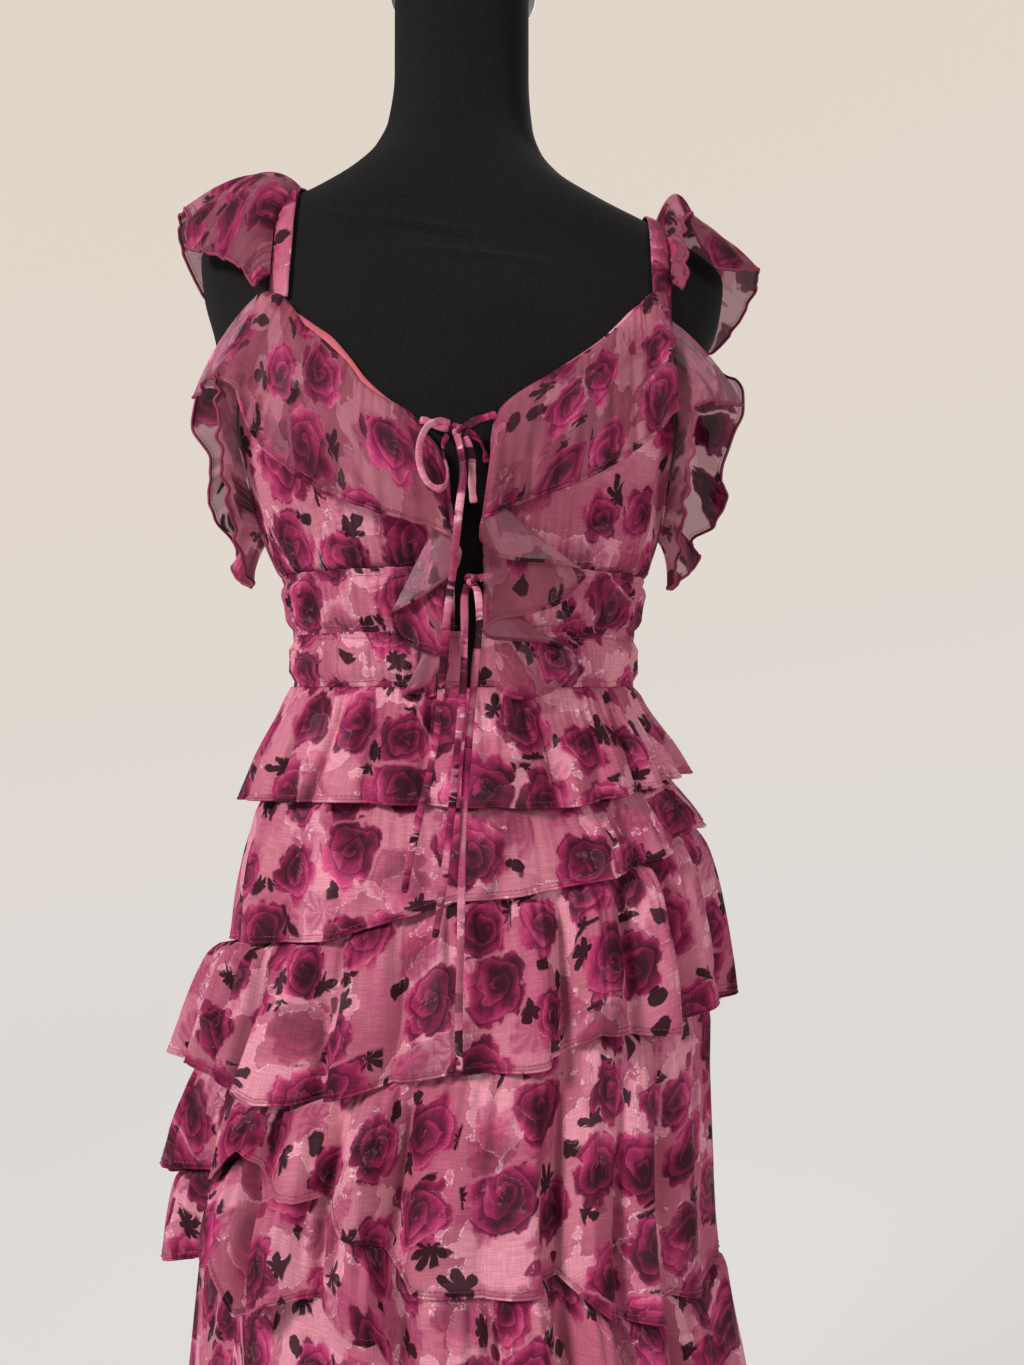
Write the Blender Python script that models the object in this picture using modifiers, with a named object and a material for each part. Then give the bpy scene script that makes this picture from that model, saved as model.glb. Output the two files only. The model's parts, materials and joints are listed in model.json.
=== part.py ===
"""Maxi dress worn on a limbless dress form.

Metres, +Z up, origin on the floor at the centre of the stand's base. The dress faces -Y and the
viewer's right is +X. Cloth pieces are open surfaces thickened by a Solidify modifier. Their
surfaces come from section tables (a row per height) and fold tables (a row per fold).
"""

import math

import bpy
import numpy as np

WALL_TIER = 0.0015
WALL_BODICE = 0.0014
WALL_FLOUNCE = 0.0012
SECTION_POWER = 2.2
SHOULDER_SLOPE = 0.045  # the form's right shoulder sits a little lower than its left
WAIST_SEAM = 1.0468
BAND_LOWER = (1.0475, 1.0822)
BAND_UPPER = (1.0828, 1.1216)
BODICE_BOTTOM = 1.1221
SKIRT_HEM = 0.080
POLE_RADIUS = 0.0125
BASE_RADIUS = 0.165
BASE_HEIGHT = 0.012
CORD_RADIUS = 0.0019
BUST_HEIGHT = 1.190
BODICE_OFF = 0.0026  # middle of the bodice wall above the form
STRAP_OFF = 0.0026  # middle of a strap's wall above the form at its edges
STRAP_ENDS = (1.3130, 1.2800)  # lowest z of a strap in front and behind
SEAM_OFF = 0.0046  # middle of a flounce's wall at its seam

# Dress form: z, half width, front y, back y, centre x
FORM_SECTIONS = np.array([
    (0.772, 0.060, -0.030, 0.040, 0), (0.776, 0.108, -0.070, 0.078, 0),
    (0.786, 0.136, -0.090, 0.100, 0), (0.800, 0.145, -0.100, 0.110, 0),
    (0.850, 0.147, -0.104, 0.113, 0), (0.900, 0.144, -0.103, 0.108, 0),
    (0.950, 0.138, -0.099, 0.100, 0.001), (1.000, 0.126, -0.094, 0.089, 0.002),
    (1.045, 0.1175, -0.088, 0.080, 0.0022), (1.070, 0.1170, -0.090, 0.080, 0.0022),
    (1.110, 0.1215, -0.102, 0.085, 0.0022), (1.150, 0.134, -0.120, 0.094, 0.001),
    (1.190, 0.146, -0.130, 0.100, 0), (1.220, 0.158, -0.124, 0.102, 0),
    (1.250, 0.168, -0.112, 0.103, 0), (1.290, 0.178, -0.095, 0.101, 0),
    (1.320, 0.188, -0.082, 0.099, 0), (1.350, 0.192, -0.070, 0.096, 0),
    (1.375, 0.160, -0.064, 0.092, 0), (1.395, 0.118, -0.058, 0.088, -0.001),
    (1.415, 0.083, -0.052, 0.083, -0.003), (1.435, 0.064, -0.045, 0.078, -0.003),
    (1.460, 0.054, -0.038, 0.073, -0.002), (1.500, 0.050, -0.031, 0.069, -0.001),
    (1.560, 0.050, -0.030, 0.070, -0.001),
])

# Skirt core, which the valleys between folds lie on: z, half width, front y, back y, centre x
CORE_SECTIONS = np.array([
    (0.080, 0.262, -0.210, 0.213, 0), (0.150, 0.252, -0.201, 0.203, 0),
    (0.250, 0.236, -0.188, 0.187, 0), (0.350, 0.219, -0.174, 0.172, 0),
    (0.450, 0.204, -0.162, 0.159, 0), (0.550, 0.188, -0.152, 0.147, 0),
    (0.630, 0.180, -0.145, 0.139, -0.002), (0.700, 0.176, -0.139, 0.132, -0.004),
    (0.780, 0.170, -0.132, 0.125, 0.002), (0.820, 0.166, -0.128, 0.121, 0.006),
    (0.860, 0.162, -0.124, 0.118, 0.008), (0.900, 0.158, -0.119, 0.113, 0.008),
    (0.930, 0.1545, -0.115, 0.109, 0.007), (0.950, 0.150, -0.112, 0.106, 0.006),
    (0.970, 0.144, -0.109, 0.100, 0.004), (1.000, 0.134, -0.103, 0.093, 0.003),
    (1.045, 0.1205, -0.092, 0.084, 0.001), (1.060, 0.1205, -0.092, 0.084, 0.001),
])

# Neck flounces, in mm, from the strap to the centre and down the slit: seam x, seam z, hem x,
# hem z, and how far the hem stands off the form
NECK_LEFT = np.array([
    (-128, 1308, -149, 1255, 20), (-124, 1308, -150, 1249, 26), (-120, 1306, -143, 1239, 30),
    (-115, 1304, -135, 1233, 26), (-110, 1299, -132, 1219, 20), (-104, 1291, -126, 1206, 16),
    (-98, 1281, -115, 1193, 14), (-88, 1272, -100, 1181, 14), (-77, 1261, -85, 1171, 16),
    (-66, 1249, -69, 1163, 19), (-56, 1235, -53, 1156, 20), (-41, 1223, -37, 1151, 17),
    (-29, 1216, -22, 1147, 18), (-20, 1206, -9, 1142, 24), (-9, 1193, 0, 1137, 30),
    (-4, 1183, 4, 1128, 32), (-3, 1175, 2, 1118, 28), (-3, 1169, -14, 1107, 20),
    (-2.6, 1164, -33, 1097, 13), (-2.4, 1159, -39, 1094, 10), (-2.2, 1153, -37, 1085, 10),
    (-2.2, 1147, -32, 1076, 13), (-2, 1141, -21, 1072, 19), (-2, 1135, -11, 1069, 24),
    (-2, 1128, -7, 1062, 23.5), (-2, 1121, -15, 1051, 18.5), (-2.4, 1113, -26, 1045, 15),
    (-3, 1101, -32, 1041, 12), (-3.4, 1087, -24, 1041, 9.5), (-4, 1072, -13, 1042, 9.5),
    (-5, 1058, -8, 1043, 9.5),
])
NECK_RIGHT = np.array([
    (141, 1310, 143, 1230, 22), (137, 1311, 142, 1224, 24), (132, 1310, 137, 1218, 20),
    (126, 1306, 130, 1210, 16), (119, 1297, 120, 1201, 14), (110, 1285, 107, 1190, 14),
    (98, 1272, 92, 1180, 16), (86, 1261, 76, 1171, 18), (73, 1250, 61, 1165, 18),
    (59, 1240, 47, 1160, 16), (46, 1231, 36, 1156, 18), (36, 1223, 28, 1151, 24),
    (29, 1215, 22, 1148, 30), (27, 1204, 18.5, 1142, 32), (27, 1192, 20, 1134, 30),
    (26, 1183, 28, 1127, 25), (24, 1175, 43, 1125, 19), (22, 1168, 61, 1125, 13),
    (20, 1162, 79, 1122, 10), (19.5, 1155, 80, 1114, 10), (19, 1149, 67, 1101, 11),
    (19, 1142, 46, 1094, 15), (19, 1136, 27, 1089, 22), (20, 1130, 20, 1083, 26),
    (21, 1123, 24, 1078, 22), (22, 1114, 38, 1077, 16), (23, 1105, 59, 1076, 12),
    (23.5, 1096, 76, 1068, 10), (24, 1087, 76, 1057, 10), (25, 1077, 64, 1046, 13),
    (26, 1069, 45, 1040, 17), (27, 1062, 33, 1043, 18), (28, 1057, 27, 1048, 15),
])

# Armhole line, front strap base to back strap base: degrees from the front, z in mm
ARMHOLE = np.array([
    (43, 1303), (47, 1283), (53, 1257), (60, 1230), (68, 1204), (76, 1181), (84, 1163), (91, 1155),
    (99, 1158), (107, 1168), (115, 1184), (122, 1203), (128, 1221), (134, 1239), (139, 1253),
    (142, 1262), (144, 1268), (146, 1273),
])
# Armhole flounce hems, one point for each row of the armhole line: x, y, z in mm
HEM_RIGHT = np.array([
    (195, -45, 1241), (177, -78, 1233), (162, -94, 1230), (153, -100, 1224), (151, -97, 1204),
    (150, -86, 1176), (149, -66, 1151), (150, -40, 1129), (150, -14, 1117), (164, 14, 1128),
    (179, 36, 1143), (176, 46, 1160), (188, 22, 1168), (196, 14, 1188), (194, 24, 1209),
    (210, 25, 1254), (212, 48, 1284), (193, 84, 1306),
])
HEM_LEFT = np.array([
    (-181, -45, 1245), (-166, -74, 1248), (-155, -92, 1246), (-151, -98, 1236), (-151, -95, 1214),
    (-151, -84, 1186), (-150, -66, 1158), (-150, -40, 1134), (-150, -14, 1120), (-160, 14, 1122),
    (-176, 34, 1133), (-177, 44, 1154), (-189, 22, 1177), (-190, 18, 1196), (-192, 26, 1221),
    (-205, 26, 1243), (-203, 50, 1288), (-186, 84, 1314),
])

# Strap ruffles: share of the way along the strap, hem x, y, z in mm, then how far the middle of
# the width rises and leans in towards the neck, in mm
RUFFLE_RIGHT = np.array([
    (0.06, 148, -77, 1308, 2, 0), (0.12, 152, -75, 1322, 4, 0), (0.19, 150, -72, 1341, 8, 0),
    (0.27, 151, -67, 1357, 16, 0), (0.34, 156, -60, 1364, 34, 0), (0.40, 163, -54, 1352, 54, 0),
    (0.45, 172, -48, 1340, 64, 2), (0.50, 188, -40, 1335, 66, 4), (0.55, 209, -18, 1345, 54, 3),
    (0.60, 218, 10, 1346, 42, 1), (0.66, 215, 34, 1335, 34, 0), (0.72, 208, 58, 1324, 28, 0),
    (0.78, 200, 80, 1318, 18, 0), (0.84, 186, 101, 1316, 10, 0), (0.90, 164, 113, 1314, 5, 0),
])
RUFFLE_LEFT = np.array([
    (0.06, -131, -83, 1306, 2, 0), (0.14, -141, -78, 1322, 12, 0), (0.22, -157, -68, 1333, 30, 2),
    (0.30, -174, -54, 1343, 52, 6), (0.37, -188, -42, 1351, 60, 13),
    (0.44, -192, -26, 1374, 58, 18), (0.50, -201, -4, 1394, 50, 14), (0.57, -211, 14, 1392, 36, 8),
    (0.64, -215, 32, 1381, 28, 4), (0.71, -212, 52, 1366, 24, 2), (0.78, -204, 74, 1352, 18, 0),
    (0.85, -180, 98, 1340, 12, 0), (0.91, -148, 111, 1322, 4, 0),
])

# Tiers: degrees from the front, drop of the hem below z 1.05 in m
TIER_HEMS = {
    "tier_1": [(-180, .078), (-135, .080), (-96, .084), (-84, .082), (-60, .078), (-26, .074),
               (0, .076), (22, .078), (45, .071), (56, .068), (70, .064), (90, .063),
               (135, .070), (180, .078)],
    "tier_2": [(-180, .140), (-135, .170), (-96, .188), (-80, .178), (-50, .168), (-26, .157),
               (-2, .134), (25, .124), (50, .112), (66, .098), (85, .096), (96, .103),
               (135, .118), (180, .140)],
    "tier_3": [(-180, .262), (-135, .272), (-96, .276), (-86, .262), (-78, .264), (-68, .251),
               (-62, .264), (-54, .246), (-48, .261), (-44, .265), (-40, .251), (-36, .258),
               (-32, .258), (-2, .232), (6, .233), (18, .226), (26, .211), (36, .218),
               (48, .220), (60, .210), (76, .210), (86, .226), (96, .236), (135, .250),
               (180, .262)],
    "tier_4": [(-180, .392), (-135, .378), (-96, .366), (-86, .342), (-76, .338), (-66, .318),
               (-58, .318), (-54, .298), (-48, .308), (-43, .288), (-39, .298), (-36, .311),
               (-28, .306), (-22, .309), (-17, .322), (-12, .328), (-6, .350), (6, .360),
               (20, .354), (30, .382), (42, .393), (47, .383), (62, .396), (68, .384),
               (96, .415), (135, .405), (180, .392)],
    "tier_5": [(-180, .480), (-135, .450), (-96, .426), (-88, .410), (-76, .396), (-70, .384),
               (-56, .371), (-46, .356), (-42, .390), (-34, .386), (-30, .368), (-20, .368),
               (-16, .376), (-10, .383), (-6, .425), (6, .440), (32, .468), (62, .498),
               (90, .515), (135, .505), (180, .480)],
    "lower_skirt": [(-180, .970), (0, .970), (180, .970)],
}

# Folds of each tier: degrees of the ridge from the front, width of its left and right flank in
# degrees, and how far it stands out at the hem in mm. Unequal flanks make one side steep.
TIER_FOLDS = {
    "tier_1": [(-84, 11, 9, 13), (-62, 8, 10, 12), (-45, 7, 9, 10), (-29, 5, 10, 12),
               (-14, 7, 8, 8), (1, 7, 7, 9), (15, 7, 7, 7), (28, 6, 8, 10), (42, 7, 8, 9),
               (56, 7, 7, 10), (70, 7, 7, 12), (84, 7, 10, 18), (103, 9, 9, 10),
               (121, 9, 9, 11), (140, 9, 10, 9), (159, 10, 9, 12), (178, 9, 10, 9),
               (-163, 9, 9, 11), (-145, 9, 9, 9), (-127, 9, 9, 12), (-106, 10, 9, 9)],
    "tier_2": [(-80, 13, 12, 6), (-55, 11, 14, 7), (-31, 12, 9, 6), (-11, 10, 10, 5),
               (10, 10, 10, 6), (31, 11, 9, 7), (50, 9, 9, 8), (70, 11, 9, 15),
               (89, 8, 11, 12), (111, 12, 11, 9), (135, 12, 12, 8), (158, 11, 12, 9),
               (-178, 12, 11, 8), (-153, 12, 12, 9), (-129, 12, 11, 8), (-105, 12, 12, 8)],
    "tier_3": [(-87, 10, 10, 37), (-69, 8, 7, 24), (-53, 8, 6, 21), (-40, 5, 12, 21),
               (-20, 6, 8, 16), (-3, 9, 9, 10), (12, 8, 5, 12), (27, 7, 9, 15), (43, 8, 6, 17),
               (60, 9, 8, 17), (78, 9, 10, 20), (98, 9, 9, 16), (118, 10, 10, 16),
               (140, 11, 10, 18), (162, 10, 11, 15), (-176, 10, 10, 17), (-153, 11, 11, 16),
               (-131, 10, 11, 19), (-109, 10, 10, 20)],
    "tier_4": [(-86, 9, 9, 29), (-67, 9, 8, 21), (-46, 9, 8, 19), (-28, 8, 6, 19),
               (-15, 6, 5, 19), (-1, 6, 9, 14), (12, 9, 5, 13), (27, 7, 7, 11), (38, 8, 6, 13),
               (53, 8, 9, 9), (71, 9, 9, 5), (92, 10, 10, 4), (116, 12, 12, 13), (141, 12, 12, 15), (168, 13, 12, 13),
               (-166, 12, 12, 15), (-140, 12, 12, 14), (-113, 12, 12, 17)],
    "tier_5": [(-87, 9, 8, 25), (-69, 8, 8, 20), (-47, 9, 7, 20), (-32, 8, 8, 18),
               (-14, 8, 6, 20), (1, 6, 8, 18), (14, 7, 5, 17), (27, 6, 7, 19), (39, 7, 7, 17),
               (54, 8, 8, 19), (71, 8, 8, 15), (88, 8, 9, 13),
               (107, 9, 10, 15),
               (128, 10, 10, 17), (150, 11, 10, 15), (172, 11, 10, 17), (-167, 10, 10, 15),
               (-146, 10, 10, 17), (-126, 10, 10, 15), (-106, 9, 9, 18)],
    "lower_skirt": [(-84, 16, 15, 22), (-52, 15, 16, 17), (-21, 15, 14, 20), (8, 14, 15, 16),
                    (37, 15, 14, 20), (66, 14, 15, 18), (96, 15, 16, 20), (128, 16, 16, 17),
                    (160, 16, 16, 20), (-167, 16, 15, 18), (-138, 15, 15, 20),
                    (-110, 13, 13, 17)],
}
TIER_COLUMNS = {"tier_1": 76, "tier_2": 60, "tier_3": 84, "tier_4": 66, "tier_5": 76,
                "lower_skirt": 48}
# Power of the flare below the seam: small is puffed out at once, 1 is a straight cone
TIER_FLARE = {"tier_1": 0.75, "tier_2": 0.7, "tier_3": 0.25, "tier_4": 0.3, "tier_5": 0.15,
              "lower_skirt": 0.9}
# Rows of each tier: the tucked seam is -1, the line under the hem above is 0, the hem is 1
TIER_ROWS = {"tier_1": (0, 0.3, 0.65, 1), "tier_2": (-1, 0, 0.4, 1), "tier_3": (-1, 0, 0.2, 1),
             "tier_4": (-1, 0, 0.17, 1), "tier_5": (-1, 0, 0.24, 1),
             "lower_skirt": (-1, 0, 0.45, 1)}
TIER_ORDER = ["tier_1", "tier_2", "tier_3", "tier_4", "tier_5", "lower_skirt"]
TUCK = 0.014  # how far each tier reaches up behind the hem above it
# How far each tucked edge stands out, in mm, to lie against the tier above
TUCK_OUT = {"tier_1": 0, "tier_2": 2.2, "tier_3": 1.1, "tier_4": 1.5, "tier_5": 0.9,
            "lower_skirt": 1.2}

# Tie cords: x, y, z in mm from the knot to the free end, or round a loop
TOP_KNOT = (4, -141, 1200)
MID_KNOT = (12, -130, 1112)
TIE_CORDS = {
    "tie_top_left": [(-1, -140, 1201), (-8, -137, 1203), (-15, -134, 1207), (-19, -131, 1208)],
    "tie_top_right": [(9, -140, 1202), (15, -139, 1206), (22, -136, 1209), (27, -133, 1211)],
    "bow_loop_outer": [(0, -143, 1203.5), (-6, -145, 1204), (-13, -146, 1201), (-17, -147, 1193),
                       (-18, -149, 1183), (-16, -151, 1173), (-12, -152, 1166),
                       (-6, -152, 1163), (-2, -151, 1166), (-1, -150, 1173), (-3, -149, 1182),
                       (-4, -148, 1190), (-1.4, -146, 1195.6)],
    "bow_loop_right": [(9, -144, 1198), (14, -143, 1196), (18, -142, 1192), (20.5, -140, 1186),
                       (21.5, -139, 1181)],
    "tail_top_long": [(3.8, -143.8, 1196.5), (6, -148, 1188), (8, -152, 1172), (6, -154, 1153),
                      (4, -154, 1133), (2, -153, 1113), (-1, -152, 1092), (-3, -151, 1068),
                      (-5, -150, 1045), (-8, -149, 1018), (-13, -148, 992), (-19, -147, 967),
                      (-24, -146, 944), (-27, -145, 926)],
    "tail_top_short": [(8.5, -144, 1195), (12, -144, 1187), (13, -145, 1177), (13, -145, 1165),
                       (14, -144, 1156)],
    "tie_mid_right": [(16.35, -129.1, 1112.8), (20.6, -125.4, 1114.8), (23.2, -121, 1116.6)],
    "tail_mid_left": [(9.7, -131.9, 1109), (8.2, -136.5, 1101), (8.3, -141.5, 1082),
                      (8, -144, 1055), (6, -144.5, 1027), (3, -144.5, 1000), (1, -144, 975),
                      (-2, -143.5, 950), (-5, -143, 925), (-9, -142.5, 899)],
    "tail_mid_right": [(14.3, -131.9, 1109), (16.4, -136, 1101), (17, -139, 1085),
                       (15, -140, 1062), (13, -140.5, 1038), (10, -140.5, 1005),
                       (7.5, -140, 965), (6.5, -140.5, 925), (6, -141.5, 890),
                       (5, -143.5, 855), (5.5, -146, 822)],
}


def material(name, color, roughness):
    """A Principled material for one slot."""
    found = bpy.data.materials.get(name)
    if found:
        return found
    made = bpy.data.materials.new(name)
    made.use_nodes = True
    shader = made.node_tree.nodes["Principled BSDF"]
    shader.inputs["Base Color"].default_value = (*color, 1)
    shader.inputs["Roughness"].default_value = roughness
    return made


CLOTH = ("printed_chiffon", (0.46, 0.13, 0.19), 0.75)
FORM = ("black_jersey", (0.012, 0.011, 0.012), 0.9)
CAP = ("cap_metal", (0.42, 0.42, 0.44), 0.4)
STAND = ("stand_metal", (0.05, 0.05, 0.052), 0.45)


def signed_power(value, power):
    return np.sign(value) * np.abs(value) ** power


def shoulder_shift(x, z):
    """How far the sloping shoulder line lifts or lowers the form's surface."""
    rising = np.clip((z - 1.24) / 0.09, 0, 1)
    fading = np.clip((1.47 - z) / 0.06, 0, 1)
    blend = rising * rising * (3 - 2 * rising) * fading * fading * (3 - 2 * fading)
    return -SHOULDER_SLOPE * x * blend


def around(sections, degrees, z, off, slope=True):
    """Points on a sectioned tube, moved out by off. Degrees run from the front towards +X."""
    degrees, z, off = np.broadcast_arrays(degrees, z, off)
    angle = np.radians(degrees)
    half, front, back = (np.interp(z, sections[:, 0], sections[:, i]) for i in (1, 2, 3))
    centre = np.interp(z, sections[:, 0], sections[:, 4])
    x = centre + (half + off) * signed_power(np.sin(angle), 2 / SECTION_POWER)
    y = (front + back) / 2 - ((back - front) / 2 + off) * signed_power(
        np.cos(angle), 2 / SECTION_POWER
    )
    lift = shoulder_shift(x, z) if slope else 0
    return np.stack([x, y, z + lift], axis=-1)


def front_of_form(x, z, off):
    """The point in front of the form at this x and z, off away from its surface."""
    flat = z - shoulder_shift(x, z)
    half, front, back, centre = (
        np.interp(flat, FORM_SECTIONS[:, 0], FORM_SECTIONS[:, i]) for i in (1, 2, 3, 4)
    )
    share = np.minimum(np.abs((x - centre) / (half + off)), 0.9999)
    depth = ((back - front) / 2 + off) * (1 - share**SECTION_POWER) ** (1 / SECTION_POWER)
    return np.stack([x, (front + back) / 2 - depth, z], axis=-1)


def smooth_rows(rows, count):
    """Catmull-Rom through the rows of a table, resampled to count rows."""
    rows = np.asarray(rows, float)
    padded = np.vstack([2 * rows[0] - rows[1], rows, 2 * rows[-1] - rows[-2]])
    at = np.linspace(0, len(rows) - 1, count)
    low = np.minimum(at.astype(int), len(rows) - 2)
    t = (at - low)[:, None]
    a, b, c, d = (padded[low + i] for i in range(4))
    return 0.5 * (
        2 * b + (c - a) * t + (2 * a - 5 * b + 4 * c - d) * t**2 + (3 * b - a - 3 * c + d) * t**3
    )


def surface_object(name, points, wall, slot, closed=False):
    """An open grid of points (rows, columns, 3) thickened to a wall about its middle."""
    rows, columns = points.shape[:2]
    faces = []
    for i in range(rows - 1):
        for j in range(columns if closed else columns - 1):
            k = (j + 1) % columns
            faces.append(
                (i * columns + j, i * columns + k, (i + 1) * columns + k, (i + 1) * columns + j)
            )
    mesh = bpy.data.meshes.new(name)
    mesh.from_pydata(points.reshape(-1, 3).tolist(), [], faces)
    mesh.materials.append(material(*slot))
    made = bpy.data.objects.new(name, mesh)
    wall_maker = made.modifiers.new("Wall", "SOLIDIFY")
    wall_maker.thickness = wall
    wall_maker.offset = 0
    wall_maker.use_rim = True
    DRESS.objects.link(made)
    return made


def lathe_object(name, profile, segments, slot):
    """A solid of revolution about Z from (radius, z) rows that start and end on the axis."""
    mesh = bpy.data.meshes.new(name)
    edges = [(i, i + 1) for i in range(len(profile) - 1)]
    mesh.from_pydata([(r, 0, z) for r, z in profile], edges, [])
    mesh.materials.append(material(*slot))
    made = bpy.data.objects.new(name, mesh)
    screw = made.modifiers.new("Lathe", "SCREW")
    screw.steps = segments
    screw.render_steps = segments
    screw.use_merge_vertices = True
    screw.merge_threshold = 0.00005
    screw.use_normal_calculate = True
    DRESS.objects.link(made)
    return made


def torso():
    """The padded torso, closed at the bottom and at the neck."""
    columns = 32
    degrees = np.linspace(0, 360, columns, endpoint=False)
    rings = [around(FORM_SECTIONS, degrees, z, 0.0) for z in FORM_SECTIONS[:, 0]]
    rings = np.array(rings)
    count = len(rings)
    points = rings.reshape(-1, 3).tolist()
    faces = []
    for i in range(count - 1):
        for j in range(columns):
            k = (j + 1) % columns
            faces.append(
                (i * columns + j, i * columns + k, (i + 1) * columns + k, (i + 1) * columns + j)
            )
    bottom = len(points)
    points.append([0.0, 0.005, FORM_SECTIONS[0, 0]])
    top = len(points)
    points.append([0.0, 0.020, FORM_SECTIONS[-1, 0]])
    for j in range(columns):
        k = (j + 1) % columns
        faces.append((bottom, k, j))
        faces.append((top, (count - 1) * columns + j, (count - 1) * columns + k))
    mesh = bpy.data.meshes.new("form_torso")
    mesh.from_pydata(points, [], faces)
    mesh.materials.append(material(*FORM))
    DRESS.objects.link(bpy.data.objects.new("form_torso", mesh))


def stand():
    """Neck cap, pole and round base, all plain."""
    top = FORM_SECTIONS[-1, 0] + 0.0003
    cap = lathe_object(
        "neck_cap",
        [(0, top), (0.0535, top), (0.0545, top + 0.004), (0.050, top + 0.009),
         (0.020, top + 0.012), (0, top + 0.012)],
        24, CAP,
    )
    cap.location = (0, 0.020, 0)
    lathe_object(
        "stand_base",
        [(0, 0), (BASE_RADIUS, 0), (BASE_RADIUS, BASE_HEIGHT - 0.004),
         (BASE_RADIUS - 0.006, BASE_HEIGHT), (0.026, BASE_HEIGHT + 0.004),
         (0.022, BASE_HEIGHT + 0.030), (0, BASE_HEIGHT + 0.030)],
        32, STAND,
    )
    foot = BASE_HEIGHT + 0.0303
    head = FORM_SECTIONS[0, 0] - 0.0003
    pole = lathe_object(
        "stand_pole",
        [(0, foot), (POLE_RADIUS, foot), (POLE_RADIUS, head), (0, head)], 20, STAND,
    )
    pole.modifiers["Lathe"].use_normal_flip = True


BODICE_TOP_LEFT = np.array([
    (-90, 1152), (-86, 1158), (-78, 1175), (-70, 1197), (-62, 1222), (-55, 1248), (-50, 1272),
    (-45, 1296), (-42, 1303), (-39, 1303), (-36, 1296), (-33, 1288), (-28, 1277), (-24, 1268),
    (-20, 1253), (-16.5, 1237), (-12, 1223), (-8, 1215), (-5.5, 1206), (-2.6, 1192), (-1.0, 1181),
])
BODICE_TOP_RIGHT = np.array([
    (90, 1152), (86, 1158), (78, 1175), (70, 1197), (62, 1222), (55, 1250), (50, 1276),
    (46, 1302), (43, 1310), (40, 1308), (36.7, 1298), (34, 1286), (30.3, 1272), (26.5, 1261),
    (22.3, 1250), (18, 1240), (14, 1231), (10.9, 1223), (9, 1215), (8, 1208), (7.5, 1200),
])
BODICE_TOP_BACK = np.array([
    (90.2, 1150), (98, 1154), (107, 1165), (115, 1181), (122, 1200), (128, 1218), (134, 1236),
    (140, 1254), (146, 1268), (151, 1268), (158, 1254), (168, 1244), (180, 1241), (192, 1244),
    (202, 1254), (209, 1268), (214, 1268), (220, 1254), (226, 1236), (232, 1218), (238, 1200),
    (245, 1181), (253, 1165), (262, 1154), (269.8, 1150),
])


def bodice_panel(name, top, columns, rows, gathers):
    """A panel from its top edge down to the first elastic, gathered away from the slit."""
    edge = smooth_rows(top, columns)
    share = np.linspace(0, 1, rows)[:, None]
    upper = edge[:, 1] / 1000
    span = upper - BODICE_BOTTOM
    bust = np.clip(BUST_HEIGHT, BODICE_BOTTOM + 0.3 * span, BODICE_BOTTOM + 0.7 * span)
    z = np.where(share < 0.5, upper + (bust - upper) * 2 * share,
                 bust + (BODICE_BOTTOM - bust) * (2 * share - 1))
    along = np.linspace(0, 1, columns)
    slit = edge[np.argmin(np.abs(edge[:, 0])), 0]
    swell = np.sin(np.pi * share) * np.clip(np.abs(edge[:, 0] - slit) / 14, 0, 1)
    wave = 0.5 - 0.5 * np.cos(2 * np.pi * gathers * along)
    off = BODICE_OFF + swell * (0.0006 + 0.0020 * wave) * (0.3 + 0.7 * share)
    surface_object(name, around(FORM_SECTIONS, edge[:, 0], z, off), WALL_BODICE, CLOTH)


def waist_band(name, low_high, columns, gathers, puff):
    """A puffed band between two elastics, open at the centre front."""
    degrees = np.linspace(8.6, 358.2, columns)
    share = np.array([0.0, 0.5, 1.0])[:, None]
    z = low_high[0] + (low_high[1] - low_high[0]) * share + 0 * degrees
    wave = 0.5 + 0.5 * np.cos(2 * np.pi * gathers * np.linspace(0, 1, columns))
    edge = np.minimum(1, np.minimum(degrees - degrees[0], degrees[-1] - degrees) / 11)
    swell = np.sin(np.pi * share) * edge
    off = 0.0016 + swell * (0.45 * puff + 0.55 * puff * wave)
    surface_object(name, around(FORM_SECTIONS, degrees, z, off), WALL_BODICE, CLOTH)


def ribbon(seam, hem, middle, rows):
    """A quadratic sweep from a seam line over a middle line to a hem line."""
    share = np.linspace(0, 1, rows)[:, None, None]
    return seam * (1 - share) ** 2 + 2 * middle * share * (1 - share) + hem * share**2


def neck_flounce(name, table, columns, rows):
    """Sewn to the neckline and the slit, with its hem in folds."""
    fine = smooth_rows(table, columns)
    seam = front_of_form(fine[:, 0] / 1000, fine[:, 1] / 1000, SEAM_OFF)
    hem = front_of_form(fine[:, 2] / 1000, fine[:, 3] / 1000, fine[:, 4] / 1000)
    half = (seam + hem) / 2
    lift = SEAM_OFF / 2 + fine[:, 4] / 2000 + np.clip(fine[:, 4] - 6, 1, 14) * 0.00014
    middle = 2 * front_of_form(half[:, 0], half[:, 2], lift) - half
    surface_object(name, ribbon(seam, hem, middle, rows), WALL_FLOUNCE, CLOTH)


def armhole_flounce(name, side, hems, columns, rows):
    """Sewn round the armhole from the front strap base to the back one."""
    line = smooth_rows(ARMHOLE, columns)
    seam = around(FORM_SECTIONS, side * line[:, 0], line[:, 1] / 1000, SEAM_OFF)
    hem = smooth_rows(hems, columns) / 1000
    middle = (seam + hem) / 2
    out = middle - np.array([0, 0.005, 0])
    out[:, 2] = middle[:, 2]
    length = np.linalg.norm(out[:, :2], axis=1, keepdims=True)
    middle[:, :2] += out[:, :2] / length * 0.006
    middle[:, 2] += 0.008
    surface_object(name, ribbon(seam, hem, middle, rows), WALL_FLOUNCE, CLOTH)


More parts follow.
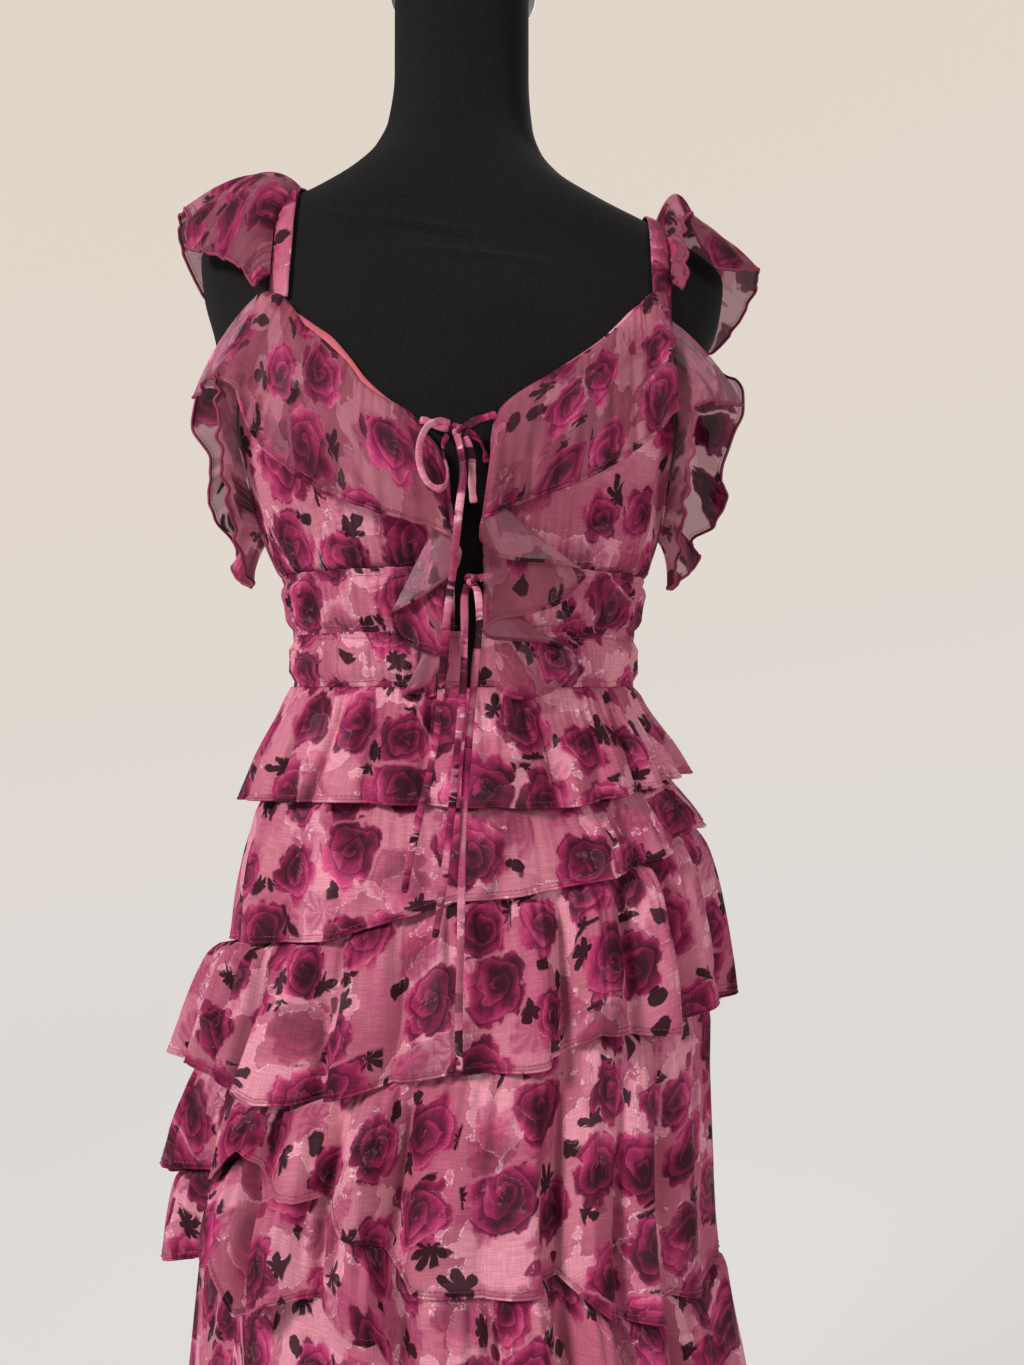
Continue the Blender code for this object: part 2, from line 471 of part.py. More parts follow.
def strap_line(x, count, off):
    """Points over the shoulder at one x, front base to back base, off above the form."""
    low_front, low_back = STRAP_ENDS
    zs = FORM_SECTIONS[:, 0]
    rise = np.linspace(1.25, 1.41, 600)
    slope = shoulder_shift(x, rise)
    half = np.interp(rise, zs, FORM_SECTIONS[:, 1])
    front = np.interp(rise, zs, FORM_SECTIONS[:, 2])
    back = np.interp(rise, zs, FORM_SECTIONS[:, 3])
    share = np.abs(x) / half
    keep = share < 0.9995
    root = (1 - share[keep] ** SECTION_POWER) ** (1 / SECTION_POWER) * (back - front)[keep] / 2
    centre = ((front + back) / 2)[keep]
    up = (rise + slope)[keep]
    path = np.concatenate([
        np.stack([centre - root, up], axis=1)[up > low_front],
        np.stack([centre + root, up], axis=1)[up > low_back][::-1],
    ])
    step = np.linalg.norm(np.diff(path, axis=0), axis=1)
    run = np.concatenate([[0], np.cumsum(step)])
    even = np.linspace(0, run[-1], count)
    line = np.stack([np.interp(even, run, path[:, i]) for i in (0, 1)], axis=1)
    along = np.gradient(line, axis=0)
    along /= np.linalg.norm(along, axis=1, keepdims=True)
    out = np.stack([-along[:, 1], along[:, 0]], axis=1)
    line = line + out * off
    return np.column_stack([np.full(count, x), line])


def strap(name, centre, width):
    """A narrow gathered strap over the shoulder."""
    count = 17
    edges = [strap_line(centre + width * s, count, STRAP_OFF if abs(s) > 0.4 else STRAP_OFF + 0.001)
             for s in (-0.5, 0, 0.5)]
    points = np.array(edges)
    if centre > 0:
        points = points[::-1]
    surface_object(name, points, 0.0016, CLOTH)


def strap_ruffle(name, edge_x, table, columns, rows):
    """A wing sewn to the strap's outer edge and falling off the shoulder."""
    fine = smooth_rows(table, columns)
    line = strap_line(edge_x, 201, STRAP_OFF + 0.0012)
    at = np.clip(fine[:, 0], 0, 1) * 200
    seam = np.stack([np.interp(at, np.arange(201), line[:, i]) for i in range(3)], axis=1)
    hem = fine[:, 1:4] / 1000
    middle = (seam + hem) / 2
    middle[:, 2] += fine[:, 4] / 1000
    middle[:, 0] -= np.sign(edge_x) * fine[:, 5] / 1000
    surface_object(name, ribbon(seam, hem, middle, rows), WALL_FLOUNCE, CLOTH)


def hem_drop(name, degrees):
    table = np.array(TIER_HEMS[name])
    wrapped = (degrees + 180) % 360 - 180
    return np.interp(wrapped, table[:, 0], table[:, 1])


def fold_height(name, degrees):
    """How far the tier's folds stand out at the hem, in metres."""
    wrapped = (degrees + 180) % 360 - 180
    total = np.zeros_like(wrapped, dtype=float)
    for ridge, left, right, depth in TIER_FOLDS[name]:
        away = (wrapped - ridge + 180) % 360 - 180
        share = np.where(away < 0, -away / left, away / right)
        bump = np.where(share < 1, 0.5 + 0.5 * np.cos(np.pi * np.clip(share, 0, 1)), 0)
        total = np.maximum(total, depth * bump)
    return total / 1000


def tier_points(name, degrees, shares):
    """Grid of points of one tier, seam first."""
    order = TIER_ORDER.index(name)
    if order == 0:
        exposed = np.full_like(degrees, WAIST_SEAM)
    else:
        exposed = 1.048 - hem_drop(TIER_ORDER[order - 1], degrees)
    bottom = 1.05 - hem_drop(name, degrees)
    share = np.asarray(shares)[:, None]
    grown = np.clip(share, 0, 1)
    z = exposed + (bottom - exposed) * grown + TUCK * np.clip(-share, 0, 1)
    tucked = TUCK_OUT[name] / 1000 * np.clip(-share, 0, 1)
    stand_off = 0.0008 + 0.0042 * np.minimum(1, 1.6 * grown) + tucked
    off = stand_off + fold_height(name, degrees) * grown ** TIER_FLARE[name]
    return around(CORE_SECTIONS, degrees, z, off, slope=False)


def tier(name):
    degrees = np.linspace(-180, 180, TIER_COLUMNS[name], endpoint=False)
    surface_object(name, tier_points(name, degrees, TIER_ROWS[name]), WALL_TIER, CLOTH, closed=True)


def knot(name, centre, size):
    bpy.ops.mesh.primitive_uv_sphere_add(segments=10, ring_count=6, radius=1)
    made = bpy.context.active_object
    made.name = name
    made.scale = tuple(s / 1000 for s in size)
    made.location = tuple(c / 1000 for c in centre)
    made.data.materials.append(material(*CLOTH))
    for collection in list(made.users_collection):
        collection.objects.unlink(made)
    DRESS.objects.link(made)


def cord(name, table, count):
    """A round cord through the points of its table."""
    points = smooth_rows(table, count) / 1000
    curve = bpy.data.curves.new(name, "CURVE")
    curve.dimensions = "3D"
    curve.bevel_depth = CORD_RADIUS
    curve.bevel_resolution = 1
    curve.use_fill_caps = True
    spline = curve.splines.new("POLY")
    spline.points.add(count - 1)
    for i, point in enumerate(points):
        spline.points[i].co = (*point.tolist(), 1)
    curve.materials.append(material(*CLOTH))
    DRESS.objects.link(bpy.data.objects.new(name, curve))


def build():
    torso()
    stand()
    bodice_panel("bodice_front_left", BODICE_TOP_LEFT, 25, 5, 6)
    bodice_panel("bodice_front_right", BODICE_TOP_RIGHT[::-1], 25, 5, 6)
    bodice_panel("bodice_back", BODICE_TOP_BACK, 29, 5, 7)
    waist_band("waist_band_upper", BAND_UPPER, 77, 19, 0.0042)
    waist_band("waist_band_lower", BAND_LOWER, 77, 19, 0.0038)
    neck_flounce("neck_flounce_left", NECK_LEFT, 62, 4)
    neck_flounce("neck_flounce_right", NECK_RIGHT, 66, 4)
    armhole_flounce("armhole_flounce_left", -1, HEM_LEFT, 34, 4)
    armhole_flounce("armhole_flounce_right", 1, HEM_RIGHT, 34, 4)
    strap("strap_left", -0.1170, 0.013)
    strap("strap_right", 0.1370, 0.013)
    strap_ruffle("strap_ruffle_left", -0.1246, RUFFLE_LEFT, 24, 4)
    strap_ruffle("strap_ruffle_right", 0.1449, RUFFLE_RIGHT, 27, 4)
    for name in TIER_ORDER:
        tier(name)
    knot("knot_top", TOP_KNOT, (4.4, 3.6, 4.2))
    knot("knot_middle", MID_KNOT, (4.0, 3.4, 3.8))
    for name, table in TIE_CORDS.items():
        cord(name, table, max(6, round(1.6 * len(table))))


for old in list(bpy.data.objects):
    bpy.data.objects.remove(old)
DRESS = bpy.data.collections.new("maxi_dress_on_dress_form")
bpy.context.scene.collection.children.link(DRESS)
build()
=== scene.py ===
"""Looks of a maxi dress worn on a black dress form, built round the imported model's frame.

Metres, +Z up. The dress faces -Y and the viewer's right is +X. The tables repeat the
construction's own, so each sheet of cloth lies where its solid is. Dense grids, gathers,
creases, hems, stitches and the printed cloth are added here.
"""

from __future__ import annotations

import json
import logging
import math
from dataclasses import dataclass, field
from enum import Enum

import bmesh
import bpy
import numpy as np
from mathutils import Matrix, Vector

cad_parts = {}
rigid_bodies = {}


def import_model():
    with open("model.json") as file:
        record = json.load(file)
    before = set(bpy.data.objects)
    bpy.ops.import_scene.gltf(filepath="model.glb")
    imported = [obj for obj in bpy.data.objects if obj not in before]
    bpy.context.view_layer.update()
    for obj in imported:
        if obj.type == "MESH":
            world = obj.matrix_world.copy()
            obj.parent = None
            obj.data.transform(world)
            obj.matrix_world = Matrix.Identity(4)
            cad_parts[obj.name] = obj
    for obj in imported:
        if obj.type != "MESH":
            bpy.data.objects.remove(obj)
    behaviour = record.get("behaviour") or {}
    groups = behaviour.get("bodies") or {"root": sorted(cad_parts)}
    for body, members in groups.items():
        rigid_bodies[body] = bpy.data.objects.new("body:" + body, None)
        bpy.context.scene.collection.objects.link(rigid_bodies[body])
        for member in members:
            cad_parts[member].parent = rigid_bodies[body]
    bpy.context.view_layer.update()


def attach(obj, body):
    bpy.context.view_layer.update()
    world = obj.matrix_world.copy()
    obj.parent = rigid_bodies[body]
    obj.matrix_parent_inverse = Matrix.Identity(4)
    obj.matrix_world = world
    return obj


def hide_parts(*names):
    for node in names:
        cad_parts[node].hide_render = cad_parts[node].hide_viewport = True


LOG = logging.getLogger("maxi_dress")
BODY = "root"
UV_NAME = "cloth"
SECTION_POWER = 2.2  # of the rounded sections, where 2 gives an ellipse
SHOULDER_SLOPE = 0.045  # fall of the shoulder line towards +X, m per m
SHELL = 0.0007  # thickness of the cloth's shell
THREAD_LIFT = 0.00015  # how far a stitch's middle stands off the shell
TWO_PI = 2 * math.pi


def read_rows(text: str) -> np.ndarray:
    """Read a table of numbers.

    Args:
        text: Rows parted by semicolons, with spaces between their numbers.

    Returns:
        The rows, as one array.
    """
    return np.array([[float(number) for number in row.split()] for row in text.split(";")])


# Dress form: z, half width, front y, back y, centre x
FORM_ROWS = read_rows("""
    .772 .06 -.03 .04 0; .776 .108 -.07 .078 0; .786 .136 -.09 .1 0; .8 .145 -.1 .11 0;
    .85 .147 -.104 .113 0; .9 .144 -.103 .108 0; .95 .138 -.099 .1 .001; 1 .126 -.094 .089 .002;
    1.045 .1175 -.088 .08 .0022; 1.07 .117 -.09 .08 .0022; 1.11 .1215 -.102 .085 .0022;
    1.15 .134 -.12 .094 .001; 1.19 .146 -.13 .1 0; 1.22 .158 -.124 .102 0; 1.25 .168 -.112 .103 0;
    1.29 .178 -.095 .101 0; 1.32 .188 -.082 .099 0; 1.35 .192 -.07 .096 0; 1.375 .16 -.064 .092 0;
    1.395 .118 -.058 .088 -.001; 1.415 .083 -.052 .083 -.003; 1.435 .064 -.045 .078 -.003;
    1.46 .054 -.038 .073 -.002; 1.5 .05 -.031 .069 -.001; 1.56 .05 -.03 .07 -.001
""")

# Skirt core, which the valleys between folds lie on: z, half width, front y, back y, centre x
CORE_ROWS = read_rows("""
    .08 .262 -.21 .213 0; .15 .252 -.201 .203 0; .25 .236 -.188 .187 0; .35 .219 -.174 .172 0;
    .45 .204 -.162 .159 0; .55 .188 -.152 .147 0; .63 .18 -.145 .139 -.002;
    .7 .176 -.139 .132 -.004; .78 .17 -.132 .125 .002; .82 .166 -.128 .121 .006;
    .86 .162 -.124 .118 .008; .9 .158 -.119 .113 .008; .93 .1545 -.115 .109 .007;
    .95 .15 -.112 .106 .006; .97 .144 -.109 .1 .004; 1 .134 -.103 .093 .003;
    1.045 .1205 -.092 .084 .001; 1.06 .1205 -.092 .084 .001
""")


class Side(Enum):
    """Which side of the cloth a finish is for."""

    FACE = "face"
    REVERSE = "reverse"


class Weight(Enum):
    """How dense the cloth is."""

    LINED = "lined"
    SHEER = "sheer"


def linear(code: str) -> tuple[float, float, float, float]:
    """Turn a hexadecimal display colour into linear light.

    Args:
        code: Six hexadecimal digits.

    Returns:
        Red, green, blue and an alpha of 1.
    """
    parts = [int(code[i:i + 2], 16) / 255 for i in (0, 2, 4)]
    light = [p / 12.92 if p <= 0.04045 else ((p + 0.055) / 1.055) ** 2.4 for p in parts]
    return (light[0], light[1], light[2], 1.0)


class Sock:
    """A node's output with arithmetic on numbers."""

    def __init__(self, shade: Shade, socket: bpy.types.NodeSocket) -> None:
        """Keep the tree's builder and the output."""
        self.shade = shade
        self.socket = socket

    def __add__(self, other: Sock | float) -> Sock:
        """Add."""
        return self.shade.math("ADD", self, other)

    def __sub__(self, other: Sock | float) -> Sock:
        """Subtract."""
        return self.shade.math("SUBTRACT", self, other)

    def __rsub__(self, other: float) -> Sock:
        """Subtract this from a number."""
        return self.shade.math("SUBTRACT", other, self)

    def __mul__(self, other: Sock | float) -> Sock:
        """Multiply."""
        return self.shade.math("MULTIPLY", self, other)

    def __truediv__(self, other: Sock | float) -> Sock:
        """Divide."""
        return self.shade.math("DIVIDE", self, other)

    def __pow__(self, other: Sock | float) -> Sock:
        """Raise to a power."""
        return self.shade.math("POWER", self, other)

    __radd__ = __add__
    __rmul__ = __mul__


class NodeMaker:
    """Adds nodes to one tree."""

    tree: bpy.types.NodeTree

    def node(
        self, kind: str, settings: dict | None = None, inputs: dict | None = None
    ) -> bpy.types.Node:
        """Make a node.

        Args:
            kind: The node's type.
            settings: Properties, set first.
            inputs: Values or outputs by the socket's name or number.

        Returns:
            The node.
        """
        made = self.tree.nodes.new(kind)
        for key, value in (settings or {}).items():
            setattr(made, key, value)
        for key, value in (inputs or {}).items():
            source = value.socket if isinstance(value, Sock) else value
            if isinstance(source, bpy.types.NodeSocket):
                self.tree.links.new(source, made.inputs[key])
            else:
                made.inputs[key].default_value = source
        return made


class Shade(NodeMaker):
    """Builds one material's nodes."""

    def __init__(self, name: str) -> None:
        """Start an empty material of that name."""
        self.material = bpy.data.materials.new(name)
        self.material.use_nodes = True
        self.tree = self.material.node_tree
        self.tree.nodes.clear()

    def out(self, node: bpy.types.Node, key: str | int = 0) -> Sock:
        """Wrap one output of a node."""
        return Sock(self, node.outputs[key])

    def math(self, operation: str, a: Sock | float, b: Sock | float = 0.0) -> Sock:
        """Add a Math node for one operation on one or two values."""
        inputs = {0: a} if operation in ("FRACT", "ABSOLUTE", "SINE", "COSINE") else {0: a, 1: b}
        return self.out(self.node("ShaderNodeMath", {"operation": operation}, inputs))

    def vector(self, operation: str, a: Sock | tuple, b: Sock | tuple) -> Sock:
        """Add a Vector Math node for two vectors."""
        return self.out(
            self.node("ShaderNodeVectorMath", {"operation": operation}, {0: a, 1: b})
        )

    def scaled(self, a: Sock, by: Sock | float) -> Sock:
        """Scale a vector by a number."""
        return self.out(
            self.node("ShaderNodeVectorMath", {"operation": "SCALE"}, {0: a, "Scale": by})
        )

    def mix(self, factor: Sock | float, a: Sock | tuple, b: Sock | tuple, how: str = "MIX") -> Sock:
        """Mix two colours."""
        node = self.node(
            "ShaderNodeMix", {"data_type": "RGBA", "blend_type": how}, {0: factor, 6: a, 7: b}
        )
        return self.out(node, 2)

    def step(self, value: Sock, low: float | Sock, high: float | Sock) -> Sock:
        """Rise smoothly from 0 at low to 1 at high."""
        node = self.node(
            "ShaderNodeMapRange", {"interpolation_type": "SMOOTHSTEP"},
            {"Value": value, "From Min": low, "From Max": high},
        )
        return self.out(node)

    def ramp(self, value: Sock, stops: list[tuple[float, tuple]]) -> Sock:
        """Colour a value through a ramp of (place, colour) rows."""
        node = self.node("ShaderNodeValToRGB", None, {0: value})
        points = node.color_ramp.elements
        while len(points) < len(stops):
            points.new(0.5)
        for point, (place, colour) in zip(points, stops):
            point.position = place
            point.color = colour
        return self.out(node)

    def noise(self, where: Sock, scale: float, detail: float = 1.0, key: int = 0) -> Sock:
        """Add 2D noise at a scale in features per metre; key 1 gives its colour."""
        node = self.node(
            "ShaderNodeTexNoise", {"noise_dimensions": "2D"},
            {"Vector": where, "Scale": scale, "Detail": detail},
        )
        return self.out(node, key)

    def cells(
        self, where: Sock, scale: float, scatter: float, feature: str = "F1"
    ) -> bpy.types.Node:
        """Add 2D Voronoi cells, scale a metre."""
        return self.node(
            "ShaderNodeTexVoronoi", {"voronoi_dimensions": "2D", "feature": feature},
            {"Vector": where, "Scale": scale, "Randomness": scatter},
        )

    def split(self, vector: Sock) -> list[Sock]:
        """Separate a vector into its three numbers."""
        node = self.node("ShaderNodeSeparateXYZ", None, {0: vector})
        return [self.out(node, i) for i in range(3)]

    def polar(self, x: Sock, y: Sock) -> tuple[Sock, Sock]:
        """Find a point's distance and bearing."""
        return (x * x + y * y) ** 0.5, self.math("ARCTAN2", y, x)

    def lobes(self, angle: Sock) -> Sock:
        """Wave between 0 and 1 twice in each turn of the angle."""
        return self.math("ABSOLUTE", self.math("COSINE", angle))

    def place(self) -> Sock:
        """Read the object's own coordinates."""
        return self.out(self.node("ShaderNodeTexCoord"), "Object")

    def grain(self, where: Sock, scale: float, detail: float) -> Sock:
        """Add 3D noise at a scale in features per metre."""
        inputs = {"Vector": where, "Scale": scale, "Detail": detail}
        return self.out(self.node("ShaderNodeTexNoise", None, inputs))

    def bump(self, height: Sock, strength: float, distance: float) -> Sock:
        """Turn a height into a normal."""
        inputs = {"Strength": strength, "Distance": distance, "Height": height}
        return self.out(self.node("ShaderNodeBump", None, inputs))

    def surface(self, inputs: dict) -> Sock:
        """Add a surface from a Principled node's inputs."""
        return self.out(self.node("ShaderNodeBsdfPrincipled", None, inputs))

    def finish(self, shader: Sock) -> bpy.types.Material:
        """Join a shader to the output and return the material."""
        self.node("ShaderNodeOutputMaterial", None, {"Surface": shader})
        return self.material


@dataclass(frozen=True)
class PrintedChiffon:
    """Slubby chiffon with satin patches and printed roses, drawn on the cloth's own UV map."""

    name: str
    side: Side = Side.FACE
    weight: Weight = Weight.LINED
    rose_pitch: float = 0.049
    rose_radius: float = 0.0215
    wash_pitch: float = 0.040
    bud_pitch: float = 0.033
    patch_scale: float = 21.0
    patch_level: float = 0.550
    ground: str = "A6546A"
    ground_pale: str = "B86C7E"
    satin: str = "D28899"
    outline: str = "ECBBC4"
    leaf: str = "1C040E"
    tones: tuple[tuple[float, str], ...] = (
        (0.0, "260411"), (0.16, "400820"), (0.32, "5E0F31"), (0.48, "7C1A44"),
        (0.64, "932954"), (0.82, "A84062"), (1.0, "C06C80"),
    )

    def build(self) -> bpy.types.Material:
        """Make the material.

        Returns:
            The finished material.
        """
        shade = Shade(self.name)
        source = shade.node(
            "ShaderNodeAttribute", {"attribute_type": "GEOMETRY", "attribute_name": UV_NAME}
        )
        cloth = shade.out(source, "Vector")
        drift = shade.vector("SUBTRACT", shade.noise(cloth, 62.0, 3.0, 1), (0.5, 0.5, 0.5))
        wavy = shade.vector("ADD", cloth, shade.scaled(drift, 0.008))
        fray = shade.noise(cloth, 230.0, 2.0) - 0.5
        patch, rim = self._satin(shade, wavy)
        slub = self._slub(shade, cloth)
        colour = self._ground(shade, cloth)
        colour = shade.mix(patch * 0.85, colour, linear(self.satin))
        colour = self._wash(shade, colour, wavy, fray)
        colour = self._buds(shade, colour, wavy)
        colour, ink = self._roses(shade, colour, wavy, drift, fray)
        glossed = shade.mix(1.0, colour, (1.30, 1.35, 1.35, 1.0), "MULTIPLY")
        colour = shade.mix(patch * ink, colour, glossed)
        colour = shade.mix(rim * (0.66 - ink * 0.58), colour, linear(self.outline))
        combed = shade.mix(1.0, colour, (1.26, 1.42, 1.38, 1.0), "MULTIPLY")
        colour = shade.mix(shade.step(slub, 0.42, 0.64) * 0.75, colour, combed)
        if self.side is Side.REVERSE:
            colour = shade.mix(0.30, colour, linear("D9A8B8"))
        return shade.finish(self._surface(shade, colour, ink, patch, rim, slub))

    def _ground(self, shade: Shade, cloth: Sock) -> Sock:
        """Colour the cloth under its print."""
        cloud = shade.step(shade.noise(cloth, 11.0, 2.0), 0.38, 0.62)
        return shade.mix(cloud, linear(self.ground), linear(self.ground_pale))

    @staticmethod
    def _slub(shade: Shade, cloth: Sock) -> Sock:
        """Streak the weave along the weft and, fainter, along the warp."""
        weft = shade.vector("MULTIPLY", cloth, (80.0, 1000.0, 1.0))
        warp = shade.vector("MULTIPLY", cloth, (1100.0, 60.0, 1.0))
        return shade.noise(weft, 1.0, 2.0) * 0.6 + shade.noise(warp, 1.0, 1.0) * 0.4

    def _satin(self, shade: Shade, where: Sock) -> tuple[Sock, Sock]:
        """Lay out the clipped satin patches, lobed like clouds, and their fuzzy rims."""
        lobes = shade.out(shade.cells(where, 84.0, 0.7))
        level = shade.noise(where, self.patch_scale, 1.0) + (0.42 - lobes) * 0.17
        edge = self.patch_level
        patch = shade.step(level, edge, edge + 0.010)
        rim = shade.step(level, edge - 0.014, edge - 0.003)
        rim = rim * (1 - shade.step(level, edge + 0.004, edge + 0.018))
        fuzz = shade.step(shade.noise(where, 520.0, 2.0), 0.40, 0.58)
        return patch, rim * fuzz

    @staticmethod
    def _spot(
        shade: Shade, where: Sock, pitch: float, shift: tuple, scatter: float
    ) -> tuple[Sock, Sock, list[Sock]]:
        """Find the nearest motif's centre.

        Args:
            shade: The material's builder.
            where: Cloth coordinates.
            pitch: Usual spacing in metres.
            shift: Offset that keeps the layers apart.
            scatter: Randomness of the spacing.

        Returns:
            x and y from the centre, and three random numbers of the motif.
        """
        shifted = shade.vector("ADD", where, shift)
        cell = shade.cells(shifted, 1 / pitch, scatter)
        x, y, _ = shade.split(shade.vector("SUBTRACT", shifted, shade.out(cell, "Position")))
        return x, y, shade.split(shade.out(cell, "Color"))

    def _wash(self, shade: Shade, under: Sock, where: Sock, fray: Sock) -> Sock:
        """Brush loose petals of soft magenta between the roses."""
        colour = under
        for shift, hue in (((0.223, 0.517, 0.0), "93305A"), ((0.611, 0.139, 0.0), "B05472")):
            x, y, (pick, size, turn) = self._spot(shade, where, self.wash_pitch, shift, 0.95)
            distance, bearing = shade.polar(x, y)
            angle = bearing + turn * TWO_PI
            reach = distance / (size * 0.006 + 0.011)
            lobe = shade.lobes(angle * 2.0 + size * 7.0)
            shape = 1 - shade.step(reach - lobe * 0.38 + fray * 0.35, 0.50, 0.80)
            streak = shade.step(shade.math("SINE", angle * 9.0 + reach * 4.0), -0.9, 0.9)
            shape = shape * shade.step(pick, 0.46, 0.50) * (0.42 + streak * 0.30)
            colour = shade.mix(shape, colour, linear(hue))
        return colour

    def _buds(self, shade: Shade, under: Sock, where: Sock) -> Sock:
        """Scatter small petals and single leaves."""
        x, y, (pick, turn, kind) = self._spot(
            shade, where, self.bud_pitch, (0.413, 0.271, 0.0), 0.9
        )
        along, across = self._turned(shade, x, y, turn * TWO_PI)
        taper = 1.15 - along * 90.0
        reach = ((along * 130.0) ** 2.0 + (across * 260.0 / taper) ** 2.0) ** 0.5
        shape = (1 - shade.step(reach, 0.82, 1.02)) * shade.step(pick, 0.78, 0.80)
        hue = shade.mix(shade.step(kind, 0.35, 0.4), linear("7A1B46"), linear(self.leaf))
        return shade.mix(shape * 0.92, under, hue)

    @staticmethod
    def _turned(shade: Shade, x: Sock, y: Sock, angle: Sock) -> tuple[Sock, Sock]:
        """Turn a point by an angle, both as sockets."""
        cosine, sine = shade.math("COSINE", angle), shade.math("SINE", angle)
        return x * cosine + y * sine, y * cosine - x * sine

    def _roses(
        self, shade: Shade, under: Sock, where: Sock, drift: Sock, fray: Sock
    ) -> tuple[Sock, Sock]:
        """Print a rose in each cell, its petals wound in a spiral, with sprays of leaves.

        Args:
            shade: The material's builder.
            under: Colour so far.
            where: Cloth coordinates.
            drift: Slow noise about 0.
            fray: Fine noise about 0.

        Returns:
            The colour and how much ink is on the cloth.
        """
        scatter = 0.60
        x, y, (turn, size, kind) = self._spot(
            shade, where, self.rose_pitch, (0.0, 0.0, 0.0), scatter
        )
        border = shade.out(
            shade.cells(where, 1 / self.rose_pitch, scatter, "DISTANCE_TO_EDGE")
        )
        whole = shade.step(border, 0.0, 0.04)
        wobble = shade.split(drift)[2]
        distance, bearing = shade.polar(x, y)
        angle = bearing + turn * TWO_PI
        radius = self.rose_radius * (0.84 + size * 0.42)
        reach = distance / radius + wobble * 0.35
        lobe = shade.lobes(angle * 2.5 + turn * 9.0)
        tooth = shade.lobes(angle * 5.5 + turn * 5.0)
        edge = 0.72 + lobe * 0.20 + tooth * 0.08 + fray * 0.22
        inner = shade.math("ABSOLUTE", shade.math("SINE", angle * 1.5 + reach * 3.0))
        wound = shade.math("FRACT", reach * 2.9 + angle / TWO_PI + inner * 0.26)
        side = shade.math("COSINE", angle + size * 5.0)
        tone = reach * 0.50 + wound * 0.36 + side * 0.18 + wobble * 0.6 + fray * 0.08 - 0.09
        petals = shade.ramp(tone, [(p, linear(c)) for p, c in self.tones])
        halo = 1 - shade.step(reach + fray * 0.3 - lobe * 0.35, 0.50, 0.98)
        halo = halo * shade.step(border, 0.0, 0.30)
        bloom = (1 - shade.step(reach - edge, -0.06, 0.05)) * whole
        strength = bloom * (1 - shade.step(kind, 0.80, 0.84) * 0.45)
        colour = shade.mix(halo * 0.60, under, linear("A03E5E"))
        colour = shade.mix(strength * 0.97, colour, petals)
        colour, leaves = self._leaves(shade, colour, x, y, radius, kind, whole, wobble)
        return colour, shade.math("MAXIMUM", strength, leaves)

    def _leaves(
        self, shade: Shade, under: Sock, x: Sock, y: Sock, radius: Sock, kind: Sock,
        whole: Sock, wobble: Sock,
    ) -> tuple[Sock, Sock]:
        """Print fans of dark leaf fingers beside the rose, and a lone leaf.

        Args:
            shade: The material's builder.
            under: Colour so far.
            x: Distance across from the rose's centre.
            y: Distance up from it.
            radius: The rose's radius.
            kind: A random number of the rose.
            whole: 0 on the border of the rose's cell.
            wobble: Slow noise about 0.

        Returns:
            The colour and where the leaves are.
        """
        colour = under
        ink: Sock | float = 0.0
        # Each fan: turn, distance out in radii, sharpness a metre, fingers, and the share of
        # roses that lack it
        fans = (
            (0.0, 0.98, 68.0, 3.5, 0.25), (2.4, 1.0, 96.0, 1.0, 0.45), (4.2, 0.95, 80.0, 2.5, 0.6),
        )
        for offset, reach_out, size, fingers, lacking in fans:
            along, across = self._turned(shade, x, y, kind * 37.0 + offset)
            along = along - radius * reach_out
            distance, bearing = shade.polar(along, across)
            finger = shade.lobes(bearing * fingers) ** 0.8
            fan = 0.62 + shade.math("COSINE", bearing) * 0.38
            edge = (0.30 + finger * 0.74) * fan + wobble * 1.1
            shape = (1 - shade.step(distance * size - edge, -0.06, 0.06)) * whole
            chance = shade.math("FRACT", kind * 7.0 + offset)
            shape = shape * shade.step(chance, lacking, lacking + 0.02)
            colour = shade.mix(shape * 0.96, colour, linear(self.leaf))
            ink = shade.math("MAXIMUM", ink, shape)
        return colour, ink

    def _surface(
        self, shade: Shade, colour: Sock, ink: Sock, patch: Sock, rim: Sock, slub: Sock
    ) -> Sock:
        """Join colour, sheen, weave and the light that comes through where no ink is."""
        lined = self.weight is Weight.LINED
        cover = 1.0 if lined else 0.36 + ink * 0.50 + patch * 0.14
        cloth = shade.surface({
            "Base Color": colour, "Roughness": 0.82 - patch * 0.28, "Alpha": cover,
            "Sheen Weight": 0.03, "Sheen Roughness": 0.45, "Sheen Tint": linear("F4C9D0"),
            "Specular IOR Level": 0.15,
            "Normal": shade.bump(slub * 0.7 + rim * 0.9 + patch * 0.3, 0.6, 0.0005),
        })
        glow = linear("C4657F" if self.side is Side.FACE else "D696AA")
        through = shade.out(shade.node("ShaderNodeBsdfTranslucent", None, {"Color": glow}))
        share = (0.10 if lined else 0.30) * (1 - ink * 0.85)
        return shade.out(
            shade.node("ShaderNodeMixShader", None, {0: share, 1: cloth, 2: through})
        )


@dataclass(frozen=True)
class PlainCloth:
    """Unprinted cloth or thread of one colour with a fine grain."""

    name: str
    colour: str
    deep: str
    roughness: float = 0.75

    def build(self) -> bpy.types.Material:
        """Make the material."""
        shade = Shade(self.name)
        grain = shade.noise(shade.place(), 900.0, 2.0)
        return shade.finish(shade.surface({
            "Base Color": shade.mix(grain, linear(self.deep), linear(self.colour)),
            "Roughness": self.roughness, "Normal": shade.bump(grain, 0.3, 0.0003),
        }))


